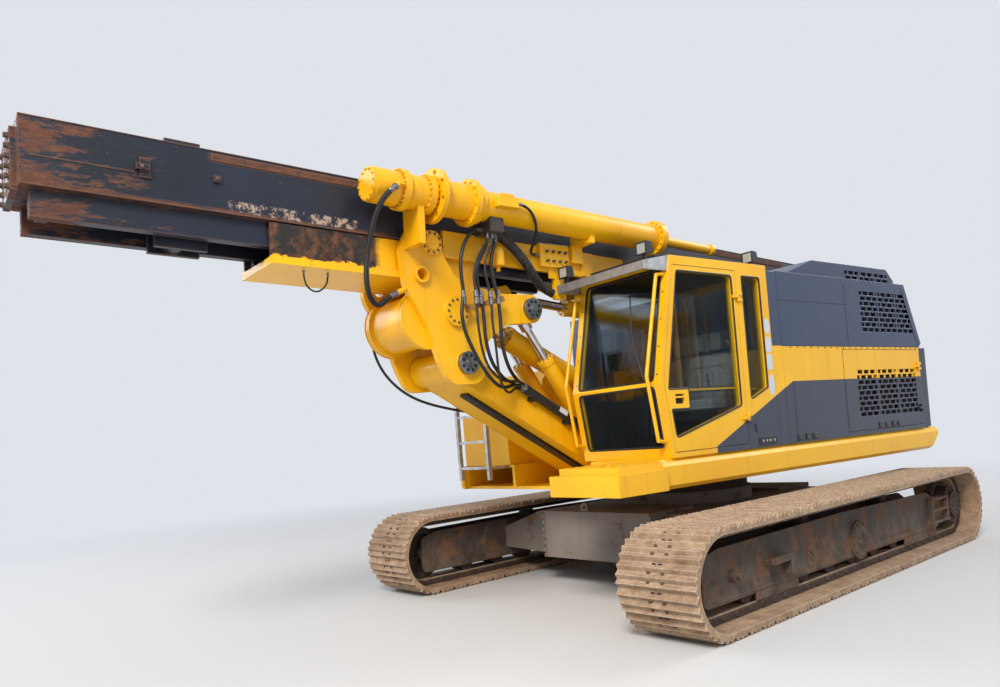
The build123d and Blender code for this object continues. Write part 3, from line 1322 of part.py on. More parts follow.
def make_hose(name):
    """One free hose, with its length and the radii of its arcs printed."""
    diameter, points = HOSES[name]
    tube, radii, length = hose(points, diameter / 2)
    print(name, "length", round(length), "radii", [round(radius) for radius in radii])
    return tube


# Cylinders
def make_barrel(x, foot, eye, radius, rod, shown, pin, eye_half):
    """Cylinder barrel with its foot eye, bored for the pin and the rod."""
    reach = hypot(eye[0] - foot[0], eye[1] - foot[1])
    mouth = reach - shown
    barrel = bar_between(x, along(foot, eye, ROD_START - 40), along(foot, eye, mouth), radius)
    barrel += bar_between(x, along(foot, eye, mouth - 55), along(foot, eye, mouth), radius + 7)
    barrel += bar_between(x, foot, along(foot, eye, ROD_START - 39), eye_half)
    barrel -= block(x - radius * 2, x - eye_half, foot[0] - 120, foot[0] + 60, foot[1] - 120, foot[1] + 60)
    barrel -= block(x + eye_half, x + radius * 2, foot[0] - 120, foot[0] + 60, foot[1] - 120, foot[1] + 60)
    barrel += cross_rod(foot, EYE_RADIUS + 13, x - eye_half, x + eye_half)
    barrel -= cross_rod(foot, pin + PIN_GAP, x - eye_half - 1, x + eye_half + 1)
    barrel -= bar_between(x, along(foot, eye, ROD_START - 5), eye, rod + PIN_GAP)
    return barrel


def make_rod(x, foot, eye, rod, eye_radius, eye_half):
    """Piston rod with its thick shank and its eye, which is closed by its own short pin."""
    reach = hypot(eye[0] - foot[0], eye[1] - foot[1])
    piece = bar_between(x, along(foot, eye, ROD_START), eye, rod)
    piece += bar_between(x, along(foot, eye, reach - SHANK), eye, min(rod + 22, eye_half))
    return piece + cross_rod(eye, eye_radius, x - eye_half, x + eye_half)


def make_tilt_barrel(side):
    return make_barrel(side * TILT_SIDE, BOOM_FOOT, ARM_PIN, TILT_BARREL, TILT_ROD, TILT_SHOWN, PIN, EYE_HALF)


def make_tilt_rod(side):
    return make_rod(side * TILT_SIDE, BOOM_FOOT, ARM_PIN, TILT_ROD, TILT_EYE, 58)


def make_push_barrel():
    return make_barrel(0, PUSH_FOOT, PUSH_EYE, PUSH_BARREL, PUSH_ROD, PUSH_SHOWN, PIN - 5, EYE_HALF)


def make_push_rod():
    return make_rod(0, PUSH_FOOT, PUSH_EYE, PUSH_ROD, EYE_RADIUS, EYE_RADIUS)


def make_neck_barrel():
    return make_barrel(0, NECK_FOOT, NECK_EYE, NECK_BARREL, NECK_ROD, NECK_SHOWN, PIN - 15, EYE_HALF)


def make_neck_rod():
    return make_rod(0, NECK_FOOT, NECK_EYE, NECK_ROD, EYE_RADIUS, EYE_RADIUS)


NODES = {
    "carbody": make_carbody,
    "slew_ring": make_slew_ring,
    "track_frame_left": lambda: make_track_frame(1),
    "track_frame_right": lambda: make_track_frame(-1),
    "track_left": lambda: make_track(1),
    "track_right": lambda: make_track(-1),
    "idlers": make_idlers,
    "final_drives": make_final_drives,
    "bottom_rollers": make_bottom_rollers,
    "carrier_rollers": make_carrier_rollers,
    "main_frame": make_main_frame,
    "skirts": make_skirts,
    "front_platform": make_front_platform,
    "cylinder_tower": make_cylinder_tower,
    "tool_box": make_side_boxes,
    "side_tank": make_side_tank,
    "ladder": make_ladder,
    "cab_shell": make_cab_shell,
    "cab_glass": make_cab_glass,
    "cab_visor": make_visor,
    "roof_guard": make_roof_guard,
    "seat": make_seat,
    "handrails": make_handrails,
    "mirror": make_mirror,
    "cab_console": make_console,
    "work_lamps": make_lamps,
    "hood_shell": make_hood_shell,
    "hood_top_box": make_top_box,
    "counterweight": make_counterweight,
    "engine_block": make_engine,
    "door_frame": make_door_frame,
    "door_glass": make_door_glass,
    "service_door_left": lambda: make_service_door(1),
    "service_door_right": lambda: make_service_door(-1),
    "boom_beam": make_boom,
    "boom_lines": make_boom_lines,
    "head_cheeks": make_cheeks,
    "pin_covers": make_pin_covers,
    "leader_cradle": make_cradle,
    "drive_tube": make_drive_tube,
    "drive_saddles": make_saddles,
    "drive_gearbox": make_gearbox,
    "head_fittings": make_head_fittings,
    "hose_sleeve": lambda: make_hose("hose_sleeve"),
    "hose_outer": lambda: make_hose("hose_outer"),
    "hose_middle": lambda: make_hose("hose_middle"),
    "hose_inner": lambda: make_hose("hose_inner"),
    "hose_ribbed": lambda: make_hose("hose_ribbed"),
    "drive_disc": make_drive_disc,
    "leader_box": make_leader_box,
    "leader_rails": make_leader_rails,
    "leader_blocks": make_leader_blocks,
    "tilt_barrel_left": lambda: make_tilt_barrel(1),
    "tilt_barrel_right": lambda: make_tilt_barrel(-1),
    "tilt_rod_left": lambda: make_tilt_rod(1),
    "tilt_rod_right": lambda: make_tilt_rod(-1),
    "push_barrel": make_push_barrel,
    "push_rod": make_push_rod,
    "neck_barrel": make_neck_barrel,
    "neck_rod": make_neck_rod,
}

os.makedirs("parts", exist_ok=True)
for node, make in NODES.items():
    export_step(make(), "parts/" + node + ".step")
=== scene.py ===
"""Looks of a tracked sheet piling rig, parked with its leader over the hood."""
import bmesh
import bpy
from math import cos, hypot, pi, radians, sin, tan
from mathutils import Matrix, Vector


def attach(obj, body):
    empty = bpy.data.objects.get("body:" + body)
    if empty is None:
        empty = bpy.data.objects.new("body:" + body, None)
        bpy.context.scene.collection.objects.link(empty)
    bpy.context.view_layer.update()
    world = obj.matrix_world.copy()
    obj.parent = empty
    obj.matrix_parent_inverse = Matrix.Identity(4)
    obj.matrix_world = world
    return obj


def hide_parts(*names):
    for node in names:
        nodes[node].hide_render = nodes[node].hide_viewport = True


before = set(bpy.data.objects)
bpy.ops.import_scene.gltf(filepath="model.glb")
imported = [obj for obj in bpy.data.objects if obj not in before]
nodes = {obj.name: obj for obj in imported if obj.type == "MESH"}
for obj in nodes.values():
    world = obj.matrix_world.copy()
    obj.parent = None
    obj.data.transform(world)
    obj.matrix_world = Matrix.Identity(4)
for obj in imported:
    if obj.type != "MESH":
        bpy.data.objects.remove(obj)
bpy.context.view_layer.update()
scene = bpy.context.scene

# Camera, solved from the photograph: metres, radians and shares of the frame's width
CAMERA_AT = Vector((5.686, -7.217, 1.632))
CAMERA_HEADING = Vector((-0.8157, 0.5786, 0.0))
CAMERA_RISE = 0.016
CAMERA_ROLL = 0.082
CAMERA_LENS = 27.467
CAMERA_SHIFT = (0.050, 0.0857)
BACKDROP = (0.74, 0.77, 0.82, 1)
SOFT_LIGHT = (0.50, 0.53, 0.60, 1)
FLOOR_SIZE = 90.0
FLOOR_FADES_FROM = 6.0
FLOOR_GONE_AT = 17.0


def make_camera():
    """Camera at the photograph's place, with its roll and shift."""
    data = bpy.data.cameras.new("camera")
    data.sensor_width = 36.0
    data.lens = CAMERA_LENS
    data.shift_x, data.shift_y = CAMERA_SHIFT
    data.clip_end = 200.0
    camera = bpy.data.objects.new("camera", data)
    scene.collection.objects.link(camera)
    forward = CAMERA_HEADING * cos(CAMERA_RISE) + Vector((0, 0, sin(CAMERA_RISE)))
    forward.normalize()
    right = forward.cross(Vector((0, 0, 1))).normalized()
    up = right.cross(forward)
    right_axis = right * cos(CAMERA_ROLL) - up * sin(CAMERA_ROLL)
    up_axis = right * sin(CAMERA_ROLL) + up * cos(CAMERA_ROLL)
    turn = Matrix((right_axis, up_axis, -forward)).transposed()
    camera.matrix_world = Matrix.Translation(CAMERA_AT) @ turn.to_4x4()
    scene.camera = camera


def srgb(red, green, blue):
    """Linear colour with alpha from display values of 0 to 255."""
    def channel(value):
        value = value / 255.0
        return value / 12.92 if value <= 0.04045 else ((value + 0.055) / 1.055) ** 2.4
    return (channel(red), channel(green), channel(blue), 1.0)


# Short calls for node trees
def fill(tree, socket, value):
    """Links what comes out of another node into a socket, or writes a plain value there."""
    if isinstance(value, bpy.types.NodeSocket):
        tree.links.new(value, socket)
    else:
        socket.default_value = value


def added(tree, kind, **inputs):
    """New node with its inputs filled by name, where an underscore stands for a space."""
    node = tree.nodes.new(kind)
    for name, value in inputs.items():
        fill(tree, node.inputs[name.replace("_", " ").title()], value)
    return node


def reckoned(tree, operation, first, second):
    """Result of one sum on two values."""
    node = tree.nodes.new("ShaderNodeMath")
    node.operation = operation
    fill(tree, node.inputs[0], first)
    fill(tree, node.inputs[1], second)
    return node.outputs[0]


def mixed(tree, factor, first, second):
    """Colour between two others, all the second one where the factor is 1."""
    node = tree.nodes.new("ShaderNodeMix")
    node.data_type = "RGBA"
    sockets = {socket.name: socket for socket in node.inputs if socket.enabled}
    for name, value in (("Factor", factor), ("A", first), ("B", second)):
        fill(tree, sockets[name], value)
    return [socket for socket in node.outputs if socket.enabled][0]


def make_world():
    """Pale surroundings for the camera, gloss and glass, with a soft even light of its own colour."""
    world = bpy.data.worlds.new("studio")
    scene.world = world
    world.use_nodes = True
    tree = world.node_tree
    rays = tree.nodes.new("ShaderNodeLightPath").outputs
    seen = reckoned(tree, "MAXIMUM", rays["Is Camera Ray"], rays["Is Glossy Ray"])
    seen = reckoned(tree, "MAXIMUM", seen, rays["Is Transmission Ray"])
    background = tree.nodes["Background"]
    fill(tree, background.inputs["Color"], mixed(tree, seen, SOFT_LIGHT, BACKDROP))


def make_lamp(name, place, target, size, power, colour):
    data = bpy.data.lights.new(name, "AREA")
    data.shape = "DISK"
    data.size = size
    data.energy = power
    data.color = colour
    lamp = bpy.data.objects.new(name, data)
    scene.collection.objects.link(lamp)
    place = Vector(place)
    way = (Vector(target) - place).to_track_quat("-Z", "Y")
    lamp.matrix_world = Matrix.Translation(place) @ way.to_matrix().to_4x4()


def make_floor():
    """Wide pale floor just under the tracks, which fades into the surroundings far from the machine."""
    mesh = bpy.data.meshes.new("floor")
    turns = ((-1, -1), (1, -1), (1, 1), (-1, 1))
    mesh.from_pydata([(x * FLOOR_SIZE, y * FLOOR_SIZE, 0) for x, y in turns], [], [(0, 1, 2, 3)])
    floor = bpy.data.objects.new("floor", mesh)
    scene.collection.objects.link(floor)
    material = bpy.data.materials.new("pale_floor")
    material.use_nodes = True
    tree = material.node_tree
    shader = tree.nodes["Principled BSDF"]
    fill(tree, shader.inputs["Base Color"], (0.60, 0.595, 0.58, 1))
    fill(tree, shader.inputs["Roughness"], 0.95)
    reach = tree.nodes.new("ShaderNodeVectorMath")
    reach.operation = "LENGTH"
    fill(tree, reach.inputs[0], tree.nodes.new("ShaderNodeTexCoord").outputs["Object"])
    far = added(tree, "ShaderNodeMapRange", value=reach.outputs["Value"],
                from_min=FLOOR_FADES_FROM, from_max=FLOOR_GONE_AT)
    far.interpolation_type = "SMOOTHSTEP"
    mix = tree.nodes.new("ShaderNodeMixShader")
    glow = added(tree, "ShaderNodeEmission", color=BACKDROP)
    for socket, source in zip(mix.inputs, (far.outputs["Result"], shader.outputs[0], glow.outputs[0])):
        fill(tree, socket, source)
    fill(tree, tree.nodes["Material Output"].inputs["Surface"], mix.outputs[0])
    mesh.materials.append(material)


# Materials
class Surface:
    """A new material with short calls for the shader nodes that it needs."""

    def __init__(self, name):
        self.material = bpy.data.materials.new(name)
        self.material.use_nodes = True
        self.tree = self.material.node_tree
        self.shader = self.tree.nodes["Principled BSDF"]
        self.place = self.added("ShaderNodeTexCoord").outputs["Object"]

    def added(self, kind, **inputs):
        return added(self.tree, kind, **inputs)

    def set(self, **values):
        """Fills the shader's own inputs."""
        for name, value in values.items():
            fill(self.tree, self.shader.inputs[name.replace("_", " ").title().replace("Ior", "IOR")], value)

    def noise(self, scale, detail=4.0, rough=0.6, stretch=None):
        """Cloudy noise of 0 to 1, which can be stretched along the axes."""
        place = self.place
        if stretch:
            place = self.added("ShaderNodeMapping", scale=stretch, vector=place).outputs["Vector"]
        node = self.added("ShaderNodeTexNoise", scale=scale, detail=detail, roughness=rough, vector=place)
        return node.outputs["Fac"]

    def ramp(self, value, low, high, start=0.0, end=1.0):
        """Value mapped from low..high to start..end and held there."""
        node = self.added("ShaderNodeMapRange", value=value, from_min=low, from_max=high,
                          to_min=start, to_max=end)
        node.clamp = True
        return node.outputs["Result"]

    def times(self, first, second):
        return reckoned(self.tree, "MULTIPLY", first, second)

    def plus(self, first, second):
        return reckoned(self.tree, "ADD", first, second)

    def minus(self, first, second):
        return reckoned(self.tree, "SUBTRACT", first, second)

    def larger(self, first, second):
        return reckoned(self.tree, "MAXIMUM", first, second)

    def smaller(self, first, second):
        return reckoned(self.tree, "MINIMUM", first, second)

    def waves(self, axis, rate):
        """Sine wave along one axis."""
        return reckoned(self.tree, "SINE", self.times(self.axis(axis), rate), 0)

    def mix(self, factor, first, second):
        return mixed(self.tree, factor, first, second)

    def axis(self, name):
        return self.added("ShaderNodeSeparateXYZ", vector=self.place).outputs[name]

    def band(self, value, low, high, soft=0.004):
        """Mask of the values between two limits."""
        rise = self.ramp(value, low - soft, low + soft)
        return self.times(rise, self.ramp(value, high + soft, high - soft))

    def rounded_normal(self, radius):
        """Normals as they would be with every edge rounded."""
        node = self.added("ShaderNodeBevel", radius=radius)
        node.samples = 4
        return node.outputs[0]

    def edges(self, radius):
        """Mask of the sharp outer and inner edges of a piece."""
        dot = self.tree.nodes.new("ShaderNodeVectorMath")
        dot.operation = "DOT_PRODUCT"
        fill(self.tree, dot.inputs[0], self.rounded_normal(radius))
        fill(self.tree, dot.inputs[1], self.added("ShaderNodeNewGeometry").outputs["Normal"])
        return self.ramp(dot.outputs["Value"], 0.995, 0.80)

    def bump(self, value, strength, distance, soft_edge=0.0):
        node = self.added("ShaderNodeBump", strength=strength, distance=distance, height=value)
        if soft_edge:
            fill(self.tree, node.inputs["Normal"], self.rounded_normal(soft_edge))
        self.set(normal=node.outputs[0])


def painted(name, colour, shade, chip, rust, roughness, wear, patches, dust=0.0, layout=None):
    """Paint with slow changes of shade, chips on its edges, rust spots, and dust below a height."""
    coat = Surface(name)
    tone = coat.ramp(coat.noise(0.9, 3.0), 0.35, 0.65)
    colour_out = coat.mix(tone, colour, shade)
    if layout:
        colour_out = layout(coat, colour_out)
    runs = coat.ramp(coat.noise(1.0, 5.0, 0.7, (9.0, 9.0, 0.7)), 0.56, 0.78, 0.0, 0.28)
    colour_out = coat.mix(runs, colour_out, rust)
    fine = coat.noise(34.0, 5.0, 0.7)
    stains = coat.ramp(coat.noise(3.4, 8.0, 0.72), patches, patches + 0.07)
    colour_out = coat.mix(coat.times(stains, 0.85), colour_out, rust)
    edge = coat.times(coat.edges(0.012), coat.ramp(fine, 0.62 - wear * 0.35, 0.70))
    colour_out = coat.mix(edge, colour_out, chip)
    if dust:
        cloud = coat.ramp(coat.noise(6.0, 6.0, 0.7), 0.35, 0.75)
        layer = coat.times(coat.ramp(coat.axis("Z"), dust, 0.0), cloud)
        colour_out = coat.mix(coat.times(layer, 0.7), colour_out, srgb(150, 133, 112))
    gloss = coat.ramp(fine, 0.3, 0.7, roughness - 0.06, roughness + 0.10)
    coat.set(base_color=colour_out, roughness=coat.plus(gloss, coat.times(coat.larger(stains, edge), 0.3)))
    coat.bump(fine, 0.10, 0.002, 0.006)
    return coat.material


def bare_metal(name, colour, shade, roughness, metallic=1.0, scale=18.0, bump=0.1):
    """Metal with clouded stains and a slightly uneven face."""
    coat = Surface(name)
    cloud = coat.ramp(coat.noise(scale, 6.0, 0.7), 0.38, 0.68)
    coat.set(base_color=coat.mix(cloud, colour, shade), metallic=metallic,
             roughness=coat.ramp(cloud, 0, 1, roughness, roughness + 0.22))
    coat.bump(coat.noise(scale * 6, 4.0), bump, 0.003, 0.004)
    return coat.material


def rusty_iron(name, colour, shade, bright):
    """Bare rusty iron, dusty on its faces and rubbed brighter on its edges."""
    coat = Surface(name)
    cloud = coat.ramp(coat.noise(7.0, 8.0, 0.75), 0.34, 0.68)
    spots = coat.ramp(coat.noise(42.0, 6.0, 0.7), 0.40, 0.66)
    colour_out = coat.mix(cloud, colour, shade)
    colour_out = coat.mix(coat.times(spots, 0.45), colour_out, shade)
    rubbed = coat.times(coat.edges(0.016), coat.ramp(spots, 0.0, 0.8, 1.0, 0.35))
    colour_out = coat.mix(coat.times(rubbed, 0.8), colour_out, bright)
    coat.set(base_color=colour_out, metallic=coat.times(rubbed, 0.35),
             roughness=coat.ramp(spots, 0, 1, 0.80, 0.95))
    coat.bump(coat.plus(spots, cloud), 0.35, 0.006, 0.005)
    return coat.material


def plain_gloss(name, colour, roughness):
    """Rubber or plastic with a faint grain."""
    coat = Surface(name)
    grain = coat.noise(60.0, 3.0)
    pale = tuple(min(1.0, c * 1.6 + 0.01) for c in colour[:3]) + (1.0,)
    coat.set(base_color=coat.mix(coat.ramp(grain, 0.4, 0.8, 0.0, 0.5), colour, pale),
             roughness=coat.ramp(grain, 0.3, 0.7, roughness - 0.05, roughness + 0.1))
    coat.bump(grain, 0.08, 0.001, 0.003)
    return coat.material


def window_pane():
    """Tinted pane that shows what is behind it."""
    coat = Surface("window_glass")
    coat.set(base_color=(0.42, 0.52, 0.56, 1), roughness=0.03, transmission_weight=1.0, ior=1.12, alpha=0.55)
    return coat.material


SLATE = srgb(44, 58, 88)
CHARCOAL = srgb(49, 56, 72)
YELLOW = srgb(246, 188, 6)
YELLOW_SHADE = srgb(238, 172, 4)
STEEL_LIGHT = srgb(150, 152, 156)
STEEL_DARK = srgb(98, 99, 104)

# limits of the painted areas, in metres on the machine's own axes
SEAM = 2.310
LINE_SLOPE = 0.425
LINE_START = 1.935
LINE_TOP = 1.955
CAB_SIDE = 1.3625
DOOR_SILL_END = -1.279
LEADER_SLOPE = 0.0419
LEADER_TOP = 3.656
SHARP = 0.002


def rising_line(coat):
    """Height of the line between charcoal and yellow, which rises to the rear."""
    return coat.plus(coat.times(coat.axis("Y"), LINE_SLOPE), LINE_START)


def hood_colours(coat, colour):
    """Slate above the seam, yellow in the middle and charcoal below the rising line."""
    line = coat.smaller(rising_line(coat), LINE_TOP)
    below = coat.ramp(coat.minus(line, coat.axis("Z")), -SHARP, SHARP)
    colour = coat.mix(below, colour, CHARCOAL)
    return coat.mix(coat.ramp(coat.axis("Z"), SEAM - SHARP, SEAM + SHARP), colour, SLATE)


def cab_colours(coat, colour):
    """Charcoal wedge below the cab door, and dark lining on the faces inside the cab."""
    below = coat.ramp(coat.minus(rising_line(coat), coat.axis("Z")), -SHARP, SHARP)
    outside = coat.ramp(coat.axis("X"), CAB_SIDE - 0.0025, CAB_SIDE + 0.0025)
    behind = coat.ramp(coat.axis("Y"), DOOR_SILL_END - SHARP, DOOR_SILL_END + SHARP)
    colour = coat.mix(coat.times(coat.times(below, outside), behind), colour, CHARCOAL)
    lower = coat.plus(coat.times(coat.axis("Z"), 0.1374), 1.717)
    upper = coat.minus(2.453, coat.times(coat.axis("Z"), 0.2332))
    front = coat.plus(coat.smaller(lower, upper), coat.axis("Y"))
    lining = coat.times(coat.ramp(front, 0.052, 0.054), coat.band(coat.axis("X"), 0.458, 1.392, 0.001))
    lining = coat.times(lining, coat.band(coat.axis("Z"), 1.388, 3.042, 0.001))
    lining = coat.times(lining, coat.ramp(coat.axis("Y"), -0.328, -0.331))
    return coat.mix(lining, colour, srgb(46, 48, 52))


def fitting_colours(coat, colour):
    """Rusty clamp and dark hose block among yellow fittings."""
    clamp = coat.times(coat.band(coat.axis("X"), 0.458, 0.476), coat.band(coat.axis("Z"), 2.70, 2.91))
    colour = coat.mix(clamp, colour, srgb(122, 70, 46))
    block = coat.times(coat.band(coat.axis("Z"), 3.40, 3.56), coat.band(coat.axis("Y"), -3.03, -2.84))
    return coat.mix(block, colour, srgb(58, 54, 50))


def over_leader(coat):
    """Height over the leader's top face, which leans with the leader."""
    return coat.minus(coat.plus(coat.axis("Z"), coat.times(coat.axis("Y"), LEADER_SLOPE)), LEADER_TOP)


def cradle_colours(coat, colour):
    """Black grease and rust on the cradle's walls, above its yellow floor plate."""
    ragged = coat.times(coat.noise(5.0, 6.0, 0.7), 0.16)
    greasy = coat.ramp(coat.minus(over_leader(coat), ragged), -0.80, -0.79)
    ahead = coat.ramp(coat.plus(coat.axis("Y"), ragged), -3.85, -3.92)
    cloud = coat.ramp(coat.noise(8.0, 8.0, 0.75), 0.48, 0.62)
    grease = coat.mix(cloud, srgb(34, 30, 28), srgb(112, 70, 40))
    return coat.mix(coat.times(greasy, ahead), colour, grease)


def cover_finish():
    """Machined steel on the lower pin covers and yellow paint on the top one."""
    coat = Surface("cover_finish")
    high = coat.ramp(coat.axis("Z"), 3.10, 3.11)
    cloud = coat.ramp(coat.noise(18.0, 6.0, 0.7), 0.38, 0.68)
    bare = coat.mix(cloud, STEEL_LIGHT, STEEL_DARK)
    coat.set(base_color=coat.mix(high, bare, YELLOW_SHADE), metallic=coat.ramp(high, 0, 1, 1, 0),
             roughness=coat.ramp(cloud, 0, 1, 0.34, 0.52))
    coat.bump(coat.noise(100.0), 0.1, 0.003, 0.004)
    return coat.material


def leader_paint():
    """Near-black blue paint, worn to brown rust at the tip, along the top edge and where plates rubbed."""
    coat = Surface("leader_paint")
    ahead = coat.times(coat.axis("Y"), -1.0)
    high = over_leader(coat)
    tone = coat.ramp(coat.noise(1.6, 5.0), 0.35, 0.65)
    colour = coat.mix(tone, srgb(24, 31, 48), srgb(16, 20, 31))
    flakes = coat.noise(3.0, 9.0, 0.78, (2.5, 1.1, 5.0))
    tip = coat.ramp(ahead, 5.3, 6.6, 0.66, 0.44)
    worn = coat.ramp(coat.minus(flakes, tip), 0.0, 0.04)
    strip = coat.times(coat.band(high, -0.085, -0.02, 0.006), coat.band(ahead, -2.0, 5.32, 0.03))
    ragged = coat.ramp(coat.noise(26.0, 6.0, 0.7), 0.36, 0.44)
    worn = coat.larger(worn, coat.times(strip, ragged))
    lower = coat.band(high, -0.452, -0.425, 0.01)
    worn = coat.larger(worn, coat.times(lower, coat.ramp(flakes, 0.42, 0.5)))
    grain = coat.ramp(coat.noise(30.0, 7.0, 0.75, (1.0, 0.35, 1.6)), 0.35, 0.65)
    rust = coat.mix(grain, srgb(112, 66, 44), srgb(62, 40, 34))
    colour = coat.mix(worn, colour, rust)
    scrape = coat.times(coat.band(high, -0.43, -0.35, 0.006), coat.band(ahead, 4.15, 5.2, 0.03))
    pale = coat.times(scrape, coat.ramp(coat.noise(14.0, 8.0, 0.8), 0.50, 0.56))
    colour = coat.mix(pale, colour, srgb(176, 150, 132))
    spots = coat.ramp(coat.noise(17.0, 7.0, 0.75), 0.66, 0.71)
    colour = coat.mix(coat.times(spots, 0.8), colour, srgb(120, 74, 50))
    edge = coat.times(coat.edges(0.014), coat.ramp(grain, 0.0, 1.0, 0.4, 1.0))
    colour = coat.mix(edge, colour, srgb(140, 96, 66))
    coat.set(base_color=colour, roughness=coat.ramp(coat.larger(worn, edge), 0, 1, 0.42, 0.86))
    coat.bump(coat.plus(coat.times(worn, 0.5), grain), 0.22, 0.005, 0.006)
    return coat.material


def quilted_cloth():
    """Grey seat cover with a sewn check and a fine weave."""
    coat = Surface("quilted_cloth")
    check = None
    for axis, step in (("X", 68.0), ("Z", 62.0), ("Y", 62.0)):
        wave = reckoned(coat.tree, "ABSOLUTE", coat.waves(axis, step), 0)
        line = coat.ramp(wave, 0.0, 0.16, 1.0, 0.0)
        check = line if check is None else coat.larger(check, line)
    weave = coat.noise(420.0, 2.0)
    base = coat.mix(coat.ramp(weave, 0.35, 0.65), srgb(150, 150, 148), srgb(118, 118, 118))
    coat.set(base_color=coat.mix(check, base, srgb(58, 60, 62)), roughness=0.92, sheen_weight=0.3)
    coat.bump(coat.minus(coat.times(weave, 0.3), check), 0.5, 0.004)
    return coat.material


def wrapped_rubber():
    """Black spiral wrap round a bundle of hoses."""
    coat = Surface("wrapped_rubber")
    wave = coat.waves("Y", 190.0)
    crumple = coat.noise(38.0, 5.0, 0.7)
    coat.set(base_color=coat.mix(coat.ramp(crumple, 0.45, 0.8), srgb(20, 20, 22), srgb(62, 62, 64)),
             roughness=coat.ramp(crumple, 0.3, 0.7, 0.32, 0.55))
    coat.bump(coat.plus(coat.times(wave, 0.25), crumple), 0.5, 0.008)
    return coat.material


def lamp_lens():
    """Fluted clear lens over a bright reflector."""
    coat = Surface("lamp_lens")
    wave = coat.waves("X", 900.0)
    coat.set(base_color=coat.mix(coat.ramp(wave, -1, 1), srgb(214, 216, 212), srgb(168, 172, 172)),
             roughness=0.12, metallic=0.4)
    coat.bump(wave, 0.3, 0.001)
    return coat.material


def painted_yellow(name, layout=None):
    return painted(name, YELLOW, YELLOW_SHADE, srgb(120, 74, 30), srgb(132, 78, 26), 0.32, 0.30, 0.715,
                   layout=layout)


yellow = painted_yellow("yellow_paint")
hood_paint = painted_yellow("hood_paint", hood_colours)
cab_paint = painted_yellow("cab_paint", cab_colours)
fitting_paint = painted_yellow("fitting_paint", fitting_colours)
cradle_paint = painted_yellow("cradle_paint", cradle_colours)
covers = cover_finish()
charcoal = painted("charcoal_paint", CHARCOAL, srgb(42, 46, 57), srgb(110, 110, 110), srgb(80, 78, 76),
                   0.40, 0.3, 0.72)
navy = leader_paint()
frame_paint = painted("frame_paint", srgb(72, 60, 54), srgb(50, 43, 40), srgb(136, 98, 70), srgb(108, 74, 52),
                      0.75, 0.8, 0.50, 0.75)
carbody_paint = painted("carbody_paint", srgb(134, 124, 114), srgb(104, 97, 92), srgb(128, 88, 62),
                        srgb(110, 72, 48), 0.7, 0.7, 0.56, 0.5)
shoe_steel = rusty_iron("shoe_steel", srgb(192, 163, 132), srgb(130, 99, 74), srgb(226, 214, 196))
dark_iron = rusty_iron("dark_iron", srgb(84, 64, 52), srgb(52, 42, 38), srgb(140, 118, 98))
# black of the cab display and the seams, and painted shade for the dark insides of holes, screw sockets, the
# door recess and the grille slots
black_and_hole_shade = plain_gloss("black_and_hole_shade", srgb(20, 18, 17), 0.8)
steel = bare_metal("bare_steel", STEEL_LIGHT, STEEL_DARK, 0.36)
bolt_steel = bare_metal("bolt_steel", srgb(126, 122, 116), srgb(84, 74, 66), 0.45, 0.8)
chrome = bare_metal("rod_chrome", srgb(222, 222, 224), srgb(196, 196, 200), 0.10, 1.0, 4.0, 0.02)
silver = bare_metal("silver_sheet", srgb(200, 202, 204), srgb(152, 150, 148), 0.40, 0.8, 9.0, 0.08)
rubber = plain_gloss("black_rubber", srgb(20, 20, 22), 0.42)
wrap = wrapped_rubber()
plastic = plain_gloss("black_plastic", srgb(30, 31, 33), 0.45)
blank_white = plain_gloss("blank_white", srgb(196, 200, 208), 0.35)
cloth = quilted_cloth()
lens = lamp_lens()
glass = window_pane()

# material, then the nodes that wear it
NODE_MATERIALS = (
    (frame_paint, ("track_frame_left", "track_frame_right")),
    (carbody_paint, ("carbody",)),
    (shoe_steel, ("track_left", "track_right")),
    (dark_iron, ("idlers", "final_drives", "bottom_rollers", "carrier_rollers", "slew_ring")),
    (hood_paint, ("hood_shell", "hood_top_box", "service_door_left", "service_door_right")),
    (charcoal, ("counterweight",)),
    (cab_paint, ("cab_shell", "door_frame")),
    (fitting_paint, ("head_fittings",)),
    (cradle_paint, ("leader_cradle",)),
    (covers, ("pin_covers",)),
    (navy, ("leader_box", "leader_rails", "leader_blocks")),
    (chrome, ("tilt_rod_left", "tilt_rod_right", "push_rod", "neck_rod")),
    (silver, ("cab_visor", "ladder")),
    (steel, ("engine_block",)),
    (glass, ("cab_glass", "door_glass")),
    (rubber, ("boom_lines", "hose_outer", "hose_middle", "hose_inner", "hose_ribbed")),
    (wrap, ("hose_sleeve",)),
    (plastic, ("seat", "work_lamps", "roof_guard", "mirror", "cab_console")),
)


def dress_nodes():
    """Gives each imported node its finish: yellow paint unless the table says otherwise."""
    finish = {name: yellow for name in nodes}
    for material, names in NODE_MATERIALS:
        for name in names:
            finish[name] = material
    for name, node in nodes.items():
        node.data.materials.clear()
        node.data.materials.append(finish[name])


# Places: forward and up of the leader's tip, the boom's foot and the cab's front, in millimetres
LEADER_TIP = (6540, 3930)
LEADER_LEAN = radians(2.4)
TRACK_TURN = radians(3.84)
BOOM_FOOT = (1350, 1240)
BOOM_RUN = (1870, 1060)
BOOM_LENGTH = 2149.5
CAB_FOOT = (1900, 1330)
CAB_KNEE = (1990, 1985)
CAB_BROW = (1730, 3100)


def mm(x, forward, up):
    """Point in metres, from millimetres to the left of, ahead of and above the origin."""
    return Vector((x, -forward, up)) / 1000


def on_leader(x, back, high):
    """Point to the left, back from the leader's tip and above its top face."""
    run, rise = cos(LEADER_LEAN), sin(LEADER_LEAN)
    return mm(x, LEADER_TIP[0] - back * run - high * rise, LEADER_TIP[1] - back * rise + high * run)


def on_tracks(x, forward, up):
    """Point on the undercarriage, which stands turned under the upper machine."""
    return Matrix.Rotation(TRACK_TURN, 3, "Z") @ mm(x, forward, up)


